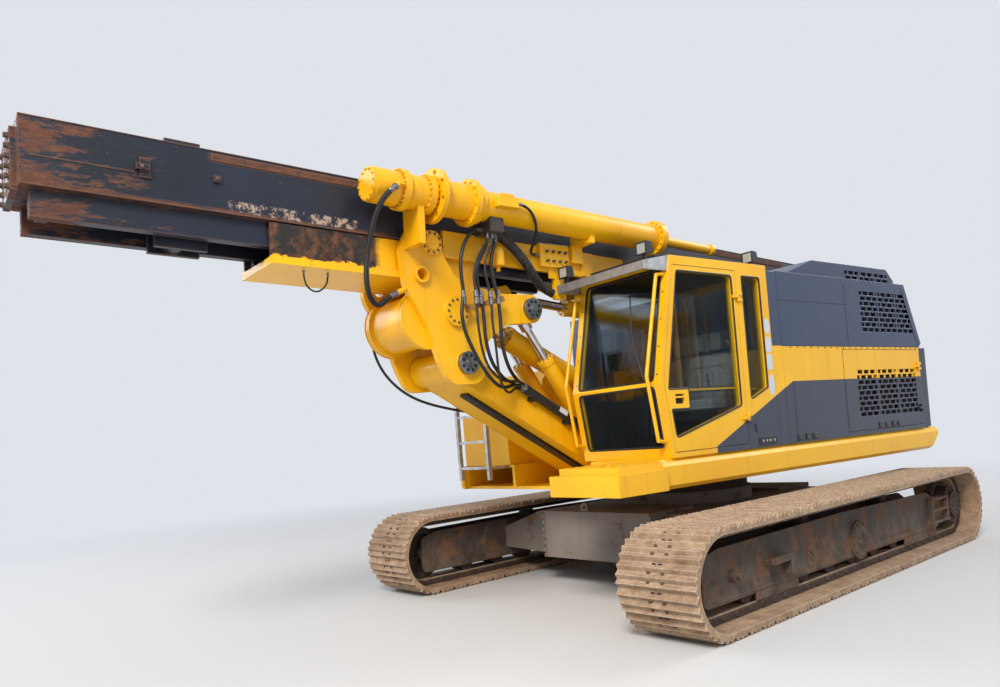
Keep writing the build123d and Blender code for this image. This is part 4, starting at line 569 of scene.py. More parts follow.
def on_boom(x, distance, high):
    """Point along the boom from its foot and above its axis."""
    run, rise = BOOM_RUN[0] / BOOM_LENGTH, BOOM_RUN[1] / BOOM_LENGTH
    return mm(x, BOOM_FOOT[0] + run * distance - rise * high, BOOM_FOOT[1] + rise * distance + run * high)


def cab_front(up):
    """How far forward the cab's front face is at a height, where it bends at the knee."""
    start, end = (CAB_FOOT, CAB_KNEE) if up < CAB_KNEE[1] else (CAB_KNEE, CAB_BROW)
    return start[0] + (end[0] - start[0]) * (up - start[1]) / (end[1] - start[1])


LEFT = Vector((1, 0, 0))
AHEAD = Vector((0, -1, 0))
UP = Vector((0, 0, 1))
LEADER_AHEAD = (on_leader(0, -1, 0) - on_leader(0, 0, 0)).normalized()


# Ways of making pieces
def dressed(name, mesh, finish, body):
    """Object at the origin that wears one finish and rides on a body."""
    mesh.name = name
    mesh.materials.clear()
    mesh.materials.append(finish)
    piece = bpy.data.objects.new(name, mesh)
    scene.collection.objects.link(piece)
    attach(piece, body)
    return piece


def closed_up(name, shape, finish, body):
    """Piece of a loose shape, with its faces turned outward."""
    bmesh.ops.recalc_face_normals(shape, faces=shape.faces[:])
    mesh = bpy.data.meshes.new(name)
    shape.to_mesh(mesh)
    shape.free()
    return dressed(name, mesh, finish, body)


def plates(name, body, finish, place, boxes, edge):
    """Blocks with broken edges, each from its low and high limits across, along and up."""
    shape = bmesh.new()
    for x_low, x_high, low, high, bottom, top in boxes:
        size = (x_high - x_low, high - low, top - bottom)
        corners = bmesh.ops.create_cube(shape, size=1.0)["verts"]
        rim = list({rib for corner in corners for rib in corner.link_edges})
        for corner in corners:
            corner.co = [(share + 0.5) * width + start
                         for share, width, start in zip(corner.co, size, (x_low, low, bottom))]
        bmesh.ops.bevel(shape, geom=rim, offset=min(edge, min(size) * 0.3), segments=1, affect="EDGES")
    for corner in shape.verts:
        corner.co = place(*corner.co)
    return closed_up(name, shape, finish, body)


def bars(name, body, finish, radius, runs, closed=False, sides=2):
    """Round bars or beads of one mesh along runs of points."""
    curve = bpy.data.curves.new(name, "CURVE")
    curve.dimensions = "3D"
    curve.bevel_depth = radius / 1000
    curve.bevel_resolution = sides
    curve.use_fill_caps = not closed
    for run in runs:
        line = curve.splines.new("POLY")
        line.points.add(len(run) - 1)
        for point, place in zip(line.points, run):
            point.co = (*place, 1)
        line.use_cyclic_u = closed
    carrier = bpy.data.objects.new(name + "_line", curve)
    mesh = bpy.data.meshes.new_from_object(carrier)
    bpy.data.objects.remove(carrier)
    mesh.shade_smooth()
    return dressed(name, mesh, finish, body)


def circle(middle, across, along, radius, count):
    """Points round a circle in the plane of two directions."""
    turns = [2 * pi * (number + 0.5) / count for number in range(count)]
    return [middle + (across * cos(turn) + along * sin(turn)) * radius / 1000 for turn in turns]


def bolt_circle(middle, way, radius, count):
    """Spots on a circle round a middle, all facing one way."""
    across = way.orthogonal().normalized()
    return [(spot, way) for spot in circle(middle, across, way.cross(across), radius, count)]


def flank(side, inner, outer):
    """Low and high x of a layer on the left side, 1, or on the right side, -1."""
    return sorted((side * inner, side * outer))


def rounded(outline, place):
    """Outline with its corners rounded, from (along, up, radius) points."""
    steps = 4
    ring = []
    for number, (along, up, radius) in enumerate(outline):
        here = Vector((along, up))
        back = (Vector(outline[number - 1][:2]) - here).normalized()
        ahead = (Vector(outline[(number + 1) % len(outline)][:2]) - here).normalized()
        reach = radius / tan(back.angle(ahead) / 2)
        start, end = here + back * reach, here + ahead * reach
        for step in range(steps + 1):
            share = step / steps
            spot = start * (1 - share) ** 2 + here * 2 * share * (1 - share) + end * share ** 2
            ring.append(place(*spot))
    return ring


# Patterns of small shapes, made with Geometry Nodes
SPOT_FIELDS = ("way", "roll", "size")


def pattern(name, make_shape, *sizes):
    """Tree that sets a shape at each spot, upright along the spot's way, turned by its roll and scaled."""
    tree = bpy.data.node_groups.new(name, "GeometryNodeTree")
    sockets = [("Spots", "Geometry")] + [(size, "Float") for size in sizes] + [("Finish", "Material")]
    for socket, kind in sockets:
        tree.interface.new_socket(socket, in_out="INPUT", socket_type="NodeSocket" + kind)
    tree.interface.new_socket("Pieces", in_out="OUTPUT", socket_type="NodeSocketGeometry")
    given = tree.nodes.new("NodeGroupInput").outputs
    fields = []
    for field in SPOT_FIELDS:
        node = added(tree, "GeometryNodeInputNamedAttribute", name=field)
        node.data_type = "FLOAT_VECTOR"
        fields.append(node.outputs["Attribute"])
    way, roll, size = fields
    turn = tree.nodes.new("FunctionNodeAxesToRotation")
    turn.primary_axis, turn.secondary_axis = "Z", "X"
    fill(tree, turn.inputs[0], way)
    fill(tree, turn.inputs[1], roll)
    spread = added(tree, "GeometryNodeInstanceOnPoints", points=given["Spots"],
                   instance=make_shape(tree, given), rotation=turn.outputs[0], scale=size)
    real = added(tree, "GeometryNodeRealizeInstances", geometry=spread.outputs[0])
    finish = added(tree, "GeometryNodeSetMaterial", geometry=real.outputs[0], material=given["Finish"])
    fill(tree, tree.nodes.new("NodeGroupOutput").inputs[0], finish.outputs[0])
    return tree


def turned(name, *steps):
    """Pattern of tapered rings: sides, then low and high radius, start and end as shares of the sizes."""
    def make(tree, given):
        def share(size, factor):
            return reckoned(tree, "MULTIPLY", given[size], factor)

        join = tree.nodes.new("GeometryNodeJoinGeometry")
        for sides, low, high, start, end in steps:
            cone = added(tree, "GeometryNodeMeshCone", vertices=sides, radius_bottom=share("Radius", low),
                         radius_top=share("Radius", high), depth=share("Height", end - start))
            lift = added(tree, "ShaderNodeCombineXYZ", z=share("Height", start))
            move = added(tree, "GeometryNodeTransform", geometry=cone.outputs["Mesh"],
                         translation=lift.outputs[0])
            fill(tree, join.inputs[0], move.outputs[0])
        return join.outputs[0]
    return pattern(name, make, "Radius", "Height")


def flat_bar(tree, given):
    """Flat bar of the given sizes."""
    size = added(tree, "ShaderNodeCombineXYZ", x=given["Length"], y=given["Width"], z=given["Height"])
    return added(tree, "GeometryNodeMeshCube", size=size.outputs[0]).outputs["Mesh"]


BOLTS = turned("bolt_pattern", (14, 1.0, 0.94, 0.0, 0.22), (6, 0.80, 0.80, 0.22, 0.88),
               (6, 0.80, 0.66, 0.88, 1.0))
SOCKETS = turned("socket_pattern", (14, 1.0, 1.0, 0.0, 0.8), (14, 1.0, 0.8, 0.8, 1.0))
RINGS = turned("ring_pattern", (20, 0.90, 1.0, -0.5, 0.0), (20, 1.0, 0.90, 0.0, 0.5))
FERRULES = turned("ferrule_pattern", (6, 1.2, 1.2, 0.0, 0.28), (18, 1.0, 1.0, 0.28, 0.9),
                  (18, 1.0, 0.86, 0.9, 1.0))
WEBS = pattern("web_pattern", flat_bar, "Length", "Width", "Height")


def set_out(name, body, finish, tree, spots, slot=None, **sizes):
    """A pattern's shapes at spots of place and way, and if given roll and size, with sizes in millimetres."""
    mesh = bpy.data.meshes.new(name + "_spots")
    mesh.from_pydata([spot[0] for spot in spots], [], [])
    layers = [mesh.attributes.new(field, "FLOAT_VECTOR", "POINT") for field in SPOT_FIELDS]
    for number, (_, way, *given) in enumerate(spots):
        level = UP if abs(way.z) < 0.9 else LEFT
        roll = given[0] if given and given[0] else level
        size = given[1] if len(given) > 1 else (1, 1, 1)
        for layer, value in zip(layers, (way, roll, size)):
            layer.data[number].vector = value
    carrier = bpy.data.objects.new(name + "_spots", mesh)
    scene.collection.objects.link(carrier)
    modifier = carrier.modifiers.new("pattern", "NODES")
    modifier.node_group = tree
    for socket in tree.interface.items_tree:
        if socket.in_out == "INPUT" and socket.name.lower() in sizes:
            modifier[socket.identifier] = sizes[socket.name.lower()] / 1000
        elif socket.name == "Finish":
            modifier[socket.identifier] = finish
    graph = bpy.context.evaluated_depsgraph_get()
    made = bpy.data.meshes.new_from_object(carrier.evaluated_get(graph))
    bpy.data.objects.remove(carrier)
    return dressed(name, made, finish, body)


# Hoses: diameter in millimetres, then x, forward, up of the points of each route. The first five are nodes.
HOSES = {
    "hose_sleeve": (84.0, (
        (326, 2075, 2975), (326, 2210, 3025), (375, 2330, 3095), (418, 2450, 3205), (430, 2580, 3320),
        (440, 2710, 3405), (440, 2850, 3470))),
    "hose_outer": (32.0, (
        (500, 3020.1, 3455), (500, 3095, 3455), (506, 3185, 3390), (508, 3255, 3285), (504, 3290, 3160),
        (500, 3290, 3020), (500, 3275, 2880), (506, 3325, 2730), (510, 3315, 2580), (508, 3250, 2430),
        (504, 3170, 2290), (490, 3075, 2170), (465, 2960, 2088), (430, 2850, 2068), (395, 2740, 2092),
        (366, 2628, 2098.9), (366, 2549.7, 2054.5))),
    "hose_middle": (32.0, (
        (500, 2975, 3419.9), (500, 2975, 3350), (500, 3020, 3270), (500, 3085, 3180), (500, 3125, 3070),
        (500, 3120, 2950), (500, 3090, 2830), (502, 3080, 2690), (504, 3088, 2550), (500, 3070, 2410),
        (490, 3020, 2280), (470, 2930, 2190), (425, 2830, 2138), (370, 2725, 2128), (324, 2628, 2098.9),
        (324, 2549.7, 2054.5))),
    "hose_inner": (32.0, (
        (520, 2900, 3419.9), (520, 2900, 3350), (516, 2935, 3260), (510, 2965, 3150), (504, 2945, 3020),
        (500, 2910, 2890), (500, 2895, 2750), (502, 2900, 2610), (502, 2905, 2470), (495, 2875, 2340),
        (450, 2800, 2240), (395, 2705, 2175), (345, 2610.7, 2129.3), (345, 2532.4, 2084.9))),
    "hose_ribbed": (38.0, (
        (705, 4004.1, 3656.9), (705, 4076, 3603), (700, 4155, 3510), (685, 4215, 3390), (665, 4255, 3250),
        (640, 4280, 3100), (600, 4280, 2950), (545, 4240, 2830), (480, 4160, 2770), (415, 4070, 2768),
        (365, 3995, 2812), (347, 3923, 2862.5), (347, 3850.1, 2894.9))),
    "hose_slim_front": (22.0, (
        (545, 3000, 3419.9), (545, 3000, 3360), (548, 3060, 3290), (550, 3140, 3190), (548, 3190, 3070),
        (546, 3190, 2940), (546, 3180, 2810), (548, 3190, 2660), (548, 3180, 2510), (544, 3160, 2370),
        (535, 3100, 2240), (512, 3000, 2160), (478, 2880, 2122), (430, 2760, 2130), (378, 2614.3, 2122.9),
        (378, 2536.0, 2078.5))),
    "hose_slim_rear": (22.0, (
        (552, 2955, 3419.9), (552, 2955, 3350), (548, 3010, 3260), (545, 3060, 3160), (545, 3060, 3040),
        (545, 3030, 2920), (548, 3020, 2790), (550, 3030, 2650), (550, 3020, 2510), (548, 3010, 2380),
        (540, 3000, 2240), (520, 2970, 2120), (480, 2890, 2040), (425, 2800, 2020), (372, 2720, 2045),
        (345, 2638, 2081.2), (345, 2559.7, 2036.8))),
    "hose_under_cradle": (14.0, (
        (200, 4610, 3068), (200, 4612, 3000), (200, 4585, 2930), (200, 4510, 2895), (200, 4435, 2940),
        (200, 4402, 3005), (200, 4400, 3060))),
    "hose_valve": (26.0, (
        (715, 2780, 3650), (715, 2690, 3645), (700, 2590, 3590), (650, 2510, 3500), (570, 2460, 3420),
        (480, 2430, 3360), (410, 2390, 3330), (372, 2330, 3320), (368, 2250.1, 3320))),
    "hose_far": (26.0, (
        (-380.1, 3590, 2760), (-470, 3590, 2758), (-540, 3598, 2700), (-560, 3602, 2580), (-545, 3570, 2430),
        (-520, 3500, 2290), (-495, 3380, 2160), (-470, 3220, 2060), (-445, 3040, 1995), (-425, 2860, 1950),
        (-400, 2700, 1915), (-360, 2600, 1895), (-295.2, 2560, 1890))),
    "hood_hose_low": (24.0, (
        (350, -60.1, 3095), (350, -170, 3097), (352, -330, 3104), (365, -520, 3112), (362, -700, 3122),
        (352, -850, 3120), (350, -960, 3090), (350, -1020, 3060.1))),
    "hood_hose_middle": (24.0, (
        (400, -60.1, 3110), (400, -170, 3112), (403, -300, 3150), (410, -450, 3190), (414, -600, 3198),
        (408, -740, 3185), (402, -840, 3140), (400, -880, 3060.1))),
    "hood_hose_high": (24.0, (
        (450, -60.1, 3105), (450, -180, 3110), (450, -320, 3165), (444, -470, 3222), (440, -630, 3232),
        (446, -780, 3205), (452, -890, 3150), (452, -930, 3060.1))),
}


def line_of(piece):
    """Points along a hose's own spline."""
    depth = piece.data.bevel_depth
    piece.data.bevel_depth = 0.0
    mesh = bpy.data.meshes.new_from_object(piece)
    piece.data.bevel_depth = depth
    return [corner.co.copy() for corner in mesh.vertices]


def lay_hose(name, diameter, points, finish):
    """Hose on one smooth spline, with a crimped ferrule on each end of all but the thick one."""
    packed = name in nodes
    curve = bpy.data.curves.new(name, "CURVE")
    curve.dimensions = "3D"
    curve.resolution_u = 14
    line = curve.splines.new("NURBS")
    line.points.add(len(points) - 1)
    for point, place in zip(line.points, points):
        point.co = (*mm(*place), 1)
    line.order_u = 3
    line.use_endpoint_u = True
    curve.bevel_depth = diameter / 2000
    curve.bevel_resolution = 4
    curve.use_fill_caps = True
    curve.materials.append(finish)
    hose = bpy.data.objects.new(name + "_run" if packed else name, curve)
    scene.collection.objects.link(hose)
    path = line_of(hose)
    if packed:
        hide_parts(name)
    body = "upper" if name.startswith("hood") else "head"
    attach(hose, body)
    if name != "hose_sleeve":
        ends = [(path[at], (path[beside] - path[at]).normalized()) for at, beside in ((0, 1), (-1, -2))]
        set_out(name + "_ends", body, steel, FERRULES, ends, radius=diameter * 0.6, height=diameter * 2.2)
    return path


def spaced(path, step):
    """Spots at even steps along a path, each facing along it."""
    spots, left = [], step
    for before, after in zip(path, path[1:]):
        run = after - before
        while left <= run.length * 1000:
            place = before + run.normalized() * left / 1000
            spots.append((place, run.normalized()))
            left += step
        left -= run.length * 1000
    return spots


def make_hoses():
    """All hoses, with the ribs of the ribbed one and the turns of the wrap round the thick one."""
    for name, (diameter, points) in HOSES.items():
        path = lay_hose(name, diameter, points, wrap if name == "hose_sleeve" else rubber)
        if name == "hose_ribbed":
            ribs = spaced(path, 13)[6:-6]
            set_out("hose_ribs", "head", rubber, RINGS, ribs, "hose_rubber", radius=23.5, height=10)
        if name == "hose_sleeve":
            turns = [(place, way, None, (1, 1, 0.8 + 0.5 * sin(number * 2.3)))
                     for number, (place, way) in enumerate(spaced(path, 34))][1:-1]
            set_out("sleeve_turns", "head", wrap, RINGS, turns, radius=45, height=26)


# Tracks, in millimetres: how far ahead and back the wheels stand, how high, and their chain's half turn
SHOES = 65
REACH = 2560
AXLE = 427.5
BEND = pi * 359.5
SHOE_PITCH = 2 * (2 * REACH + BEND) / SHOES


def track_spot(run, radius, x):
    """Place and outward way on a track's loop at a run along it and a radius from its axles."""
    straight = 2 * REACH
    run = run % (2 * (straight + BEND))
    if run < straight:
        forward, turn = REACH - run, pi / 2
    elif run < straight + BEND:
        forward, turn = -REACH, pi / 2 + pi * (run - straight) / BEND
    elif run < 2 * straight + BEND:
        forward, turn = -REACH + run - straight - BEND, 3 * pi / 2
    else:
        forward, turn = REACH, 3 * pi / 2 + pi * (run - 2 * straight - BEND) / BEND
    way = on_tracks(0, cos(turn), sin(turn)).normalized()
    return on_tracks(x, forward + radius * cos(turn), AXLE + radius * sin(turn)), way


def make_track_details():
    """Shoe bolts, chain side plates with their pins, and the bolts of the frames and final drives."""
    across = on_tracks(1, 0, 0).normalized()
    bolts, holes, links, pins, frame_bolts, hub_bolts, beam_bolts = [], [], [], [], [], [], []
    guards, strips = [], []
    for side in (1, -1):
        middle = side * 1738
        for number in range(SHOES):
            for share in (0.30, 0.62):
                for offset in (-62, 62):
                    place, way = track_spot((number + share) * SHOE_PITCH, 400, middle + offset)
                    bolts.append((place, way, across))
            # spots of the black ovals that are painted shade in the shoes' holes
            for offset in (-28, 28):
                place, way = track_spot((number + 0.92) * SHOE_PITCH, 399.6, middle + offset)
                holes.append((place, way, across, (1.0, 0.62, 1)))
            for edge in (-1, 1):
                place, way = track_spot((number + 0.5) * SHOE_PITCH, 324, middle + edge * 136)
                links.append((place, across * edge, way))
                place, way = track_spot(number * SHOE_PITCH, 318, middle + edge * 130)
                pins.append((place, across * edge))
        for x, forward, up, radius, count in ((1914, -60, 365, 168, 14), (1922, -60, 365, 60, 6),
                                              (1904, 922, 370, 34, 4)):
            frame_bolts += bolt_circle(on_tracks(side * x, forward, up), across * side, radius, count)
        for x, radius, count in ((1893, 176, 18), (1938, 108, 10)):
            hub_bolts += bolt_circle(on_tracks(side * x, -REACH, AXLE), across * side, radius, count)
        guards += [(*flank(side, 1892, 1872), -2060, -1180, 130, 214),
                   (*flank(side, 1892, 1876), 1150, 1850, 150, 214)]
        strips += [(*flank(side, 1892, 1897), -1850, 2450, 232, 252),
                   (*flank(side, 1892, 1901), -1300, -620, 300, 312)]
        for x in (-706, 706):
            for up in range(340, 780, 72):
                beam_bolts.append((on_tracks(x, side * 1574.2, up), on_tracks(0, side, 0).normalized()))
    for name, finish, shape, spots, slot, sizes in (
            ("shoe_bolts", dark_iron, BOLTS, bolts, "shoe_steel", {"radius": 17, "height": 15}),
            # the black ovals below are painted shade in the shoes' holes
            ("shoe_hole_shade", black_and_hole_shade, SOCKETS, holes, "shoe_steel", {"radius": 20, "height": 1.2}),
            ("link_plates", dark_iron, WEBS, links, "shoe_steel", {"length": 58, "width": 170, "height": 14}),
            ("link_pins", dark_iron, SOCKETS, pins, "shoe_steel", {"radius": 24, "height": 22}),
            ("frame_bolts", dark_iron, BOLTS, frame_bolts, None, {"radius": 14, "height": 15}),
            ("hub_bolts", dark_iron, BOLTS, hub_bolts, None, {"radius": 15, "height": 17})):
        set_out(name, "undercarriage", finish, shape, spots, slot, **sizes)
    plates("roller_guards", "undercarriage", frame_paint, on_tracks, guards, 3)
    plates("frame_strips", "undercarriage", frame_paint, on_tracks, strips, 2)
    set_out("beam_bolts", "undercarriage", dark_iron, BOLTS, beam_bolts, radius=12, height=12)


# Hood, in millimetres: its side, the grilles' steps, and its rear slope's start, top, depth, drop and rim
HOOD_SIDE = 1450
HOOD_FACE = 1450.1
SLOT_STEP = 138
ROW_STEP = 59
SLOPE_TOP_REAR = 2600
SLOPE_TOP = 3060
SLOPE_BACK = 320
SLOPE_DROP = 710
SLOPE_RIM = 88
SLOPE_LENGTH = hypot(SLOPE_BACK, SLOPE_DROP)


def on_hood_slope(across, down, out):
    """Place on the hood's sloping rear face, in mm: across the machine, down the slope and out from it."""
    along = -SLOPE_TOP_REAR - (down * SLOPE_BACK + out * SLOPE_DROP) / SLOPE_LENGTH
    up = SLOPE_TOP - (down * SLOPE_DROP - out * SLOPE_BACK) / SLOPE_LENGTH
    return mm(across, along, up)


def rear_edge(up):
    """How far forward the hood's side ends at a height, on its rear slope."""
    return -SLOPE_TOP_REAR - SLOPE_BACK * (SLOPE_TOP - up) / SLOPE_DROP


def make_grilles():
    """Black sheet (the mesh pieces) behind the slots of the hood, the service doors and the raised box, as
    painted shade of the dark insides seen through them, and webs across them.
    """
    for name, body, low, high, bottom, rows, x, behind in (
            ("hood_{}_left", "upper", -2770, -1500, 2480, 8, HOOD_SIDE, 41),
            ("hood_{}_right", "upper", -2770, -1500, 2480, 8, -HOOD_SIDE, 41),
            ("door_{}_left", "service_left", -2720, -1300, 1535, 9, HOOD_SIDE, 41),
            ("door_{}_right", "service_right", -2720, -1300, 1535, 9, -HOOD_SIDE, 41),
            ("box_{}_left", "upper", -2420, -1400, 3082, 2, 1360, 31)):
        sloped = name.startswith("hood")
        side = 1 if x > 0 else -1
        count = int((high - low) / SLOT_STEP)
        webs = []
        for row in range(rows):
            up = bottom + row * ROW_STEP + 21
            for number in range(1, count + 1):
                along = low + (number - 0.5 * (row % 2)) * (high - low) / (count + 0.25)
                if not sloped or along > rear_edge(up) + SLOPE_RIM + 34:
                    webs.append((mm(x - side * 6, along, up), LEFT * side, AHEAD))
        set_out(name.format("webs"), body, hood_paint, WEBS, webs, length=24, width=44, height=11)
        rear = low + 90 if sloped else low - 20
        back = flank(side, abs(x) - behind, abs(x) - behind - 5)
        # black sheet behind the slots: painted shade of the dark inside seen through them
        plates(name.format("mesh"), body, black_and_hole_shade, mm,
               [(*back, rear, high + 20, bottom - 15, bottom + rows * ROW_STEP + 5)], 1)


SIDES = {1: "left", -1: "right"}


def latches(name, body, side, outer, up, spots, keys, key_at):
    """Dark latches on the hood's side, each from its rear end, width and height, with their keyholes."""
    proud = flank(side, HOOD_FACE, outer)
    plates(name + "_latches_" + SIDES[side], body, plastic, mm,
           [(*proud, low, low + wide, up, up + tall) for low, wide, tall in spots], 4)
    set_out(name + "_keys_" + SIDES[side], body, bolt_steel, SOCKETS,
            [(mm(side * key_at[0], low, key_at[1]), LEFT * side) for low in keys], radius=15, height=5)


def make_hood_sides():
    """Rim of the rear slope, screws, seams and latches on both sides of the hood."""
    for side, tail in SIDES.items():
        plates("hood_rim_" + tail, "upper", hood_paint, on_hood_slope, [
            (*flank(side, HOOD_FACE, 1453), 2, SLOPE_LENGTH - 2, -SLOPE_RIM, 0),
            (*flank(side, 1405, 1453), 2, SLOPE_LENGTH - 2, 0.1, 3)], 1)
        screws = [(along, 2296) for along in range(-2780, 80, 130)]
        for up in (2440, 2700, 2960):
            screws += [(rear_edge(up) + SLOPE_RIM / 2, up), (-1240, up)]
        set_out("hood_screws_" + tail, "upper", bolt_steel, BOLTS,
                [(mm(side * HOOD_FACE, *spot), LEFT * side) for spot in screws], radius=9, height=6)
        thin = flank(side, HOOD_FACE, HOOD_FACE + 1)
        plates("hood_seams_" + tail, "upper", black_and_hole_shade, mm, [(*thin, *seam) for seam in (
            (-2880, 99, 2307, 2313), (-1203, -1197, 2313, 2990), (-1200, 98, 2768, 2772),
            (-1053, -1048, 1340, 2307), (-52, -46, 1340, 1955))], 0.2)
        latches("hood", "upper", side, 1459.1, 1350, ((-130, 84, 62), (-250, 58, 70), (-420, 100, 66)),
                (-88, -221, -370), (1459, 1382))
        latches("door", "service_" + tail, side, 1458, 1388,
                ((-1790, 70, 66), (-1930, 60, 60), (-2090, 66, 70), (-2215, 58, 60)),
                (-1755, -1900, -2057, -2186), (1458, 1420))


def make_hood_front():
    """Front panel, hose bulkhead, latch below the cab door, and blank labels beside it."""
    plates("hood_front_panel", "upper", hood_paint, mm, [(1404, 1449, 100.5, 262, 1331, 3052)], 3)
    plates("hose_bulkhead", "upper", plastic, mm, [
        (320, 480, -60, -40, 3060.1, 3150), (320, 340, -60, 0, 3060.1, 3080),
        (460, 480, -60, 0, 3060.1, 3080)], 3)
    plates("cab_latch", "upper", plastic, mm, [
        (HOOD_FACE, 1457, 330, 620, 1352, 1432), (HOOD_FACE, 1456, 640, 668, 1480, 1560)], 4)
    keys = [(mm(1457, low, 1392), LEFT) for low in (380, 450, 505, 565)]
    set_out("cab_keys", "upper", silver, SOCKETS, keys, "bare_steel", radius=13, height=4)
    labels = bmesh.new()
    turns = [2 * pi * number / 40 for number in range(40)]
    for middle, wide, tall, power in (
            (2500, 46, 80, 2), (2320, 46, 74, 6), (2150, 46, 78, 6), (1925, 50, 105, 2)):
        ring = []
        for turn in turns:
            reach = (abs(cos(turn)) ** power + abs(sin(turn)) ** power) ** (-1 / power)
            forward, up = 332 + wide * reach * cos(turn), middle + tall * reach * sin(turn)
            ring.append(labels.verts.new(mm(1450.2, forward, up)))
        top = bmesh.ops.extrude_face_region(labels, geom=[labels.faces.new(ring)])["geom"]
        corners = [part for part in top if isinstance(part, bmesh.types.BMVert)]
        bmesh.ops.translate(labels, verts=corners, vec=(0.0009, 0, 0))
    closed_up("blank_labels", labels, blank_white, "upper")


def pad(name, low, high, lean, channels):
    """Crowned cushion between two corners, its top sewn into channels, leaning back as it rises."""
    shape = bmesh.new()
    bmesh.ops.create_cube(shape, size=2.0)
    bmesh.ops.subdivide_edges(shape, edges=shape.edges[:], cuts=17, use_grid_fill=True)
    middle = [(a + b) / 2 for a, b in zip(low, high)]
    half = [(b - a) / 2 for a, b in zip(low, high)]
    thin = half.index(min(half))
    flat = [axis for axis in range(3) if axis != thin]
    for corner in shape.verts:
        x = list(corner.co)
        size = (abs(x[0]) ** 7 + abs(x[1]) ** 7 + abs(x[2]) ** 7) ** (1 / 7)
        x = [value / size for value in x]
        swell = (1 - x[flat[0]] ** 2) * (1 - x[flat[1]] ** 2)
        pull = 0.05 * (1 - x[thin] ** 2)
        x[thin] *= 0.82 + 0.18 * swell ** 0.5 * (1 if x[thin] > 0 else 0.6)
        for along in channels:
            x[thin] *= 1 - 0.10 * 2.718 ** (-((x[flat[1]] - along) / 0.05) ** 2)
        for axis in flat:
            x[axis] *= 1 - pull
        spot = [m + h * value for m, h, value in zip(middle, half, x)]
        spot[1] -= lean * (spot[2] - low[2])
        corner.co = mm(*spot)
    piece = closed_up(name, shape, cloth, "upper")
    piece.data.shade_smooth()


def on_door(forward, up):
    """Point on the outer face of the cab's door and side."""
    return mm(1446, forward, up)


def on_screen(x, up, out):
    """Point ahead of the cab's front face by a distance."""
    return mm(x, cab_front(up) + out, up)


def make_seat():
    """Seat on its console, with sewn cushions."""
    base = plates("seat_base", "upper", plastic, mm, [
        (760, 1090, 570, 970, 1391, 1470), (790, 1060, 600, 940, 1470, 1640),
        (700, 1150, 560, 1040, 1640, 1722),
        (640, 690, 620, 1000, 1905, 1950), (1160, 1210, 620, 1000, 1905, 1950),
        (660, 690, 640, 690, 1722, 1905), (1160, 1190, 640, 690, 1722, 1905)], 12)
    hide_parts("seat")
    pad("seat_cushion", (680, 560, 1725), (1170, 1058, 1840), 0, (-0.4, 0.4))
    pad("seat_back", (690, 560, 1800), (1160, 670, 2300), 0.16, (-0.5, 0.0, 0.5))
    pad("head_rest", (800, 500, 2330), (1050, 580, 2510), 0.05, ())


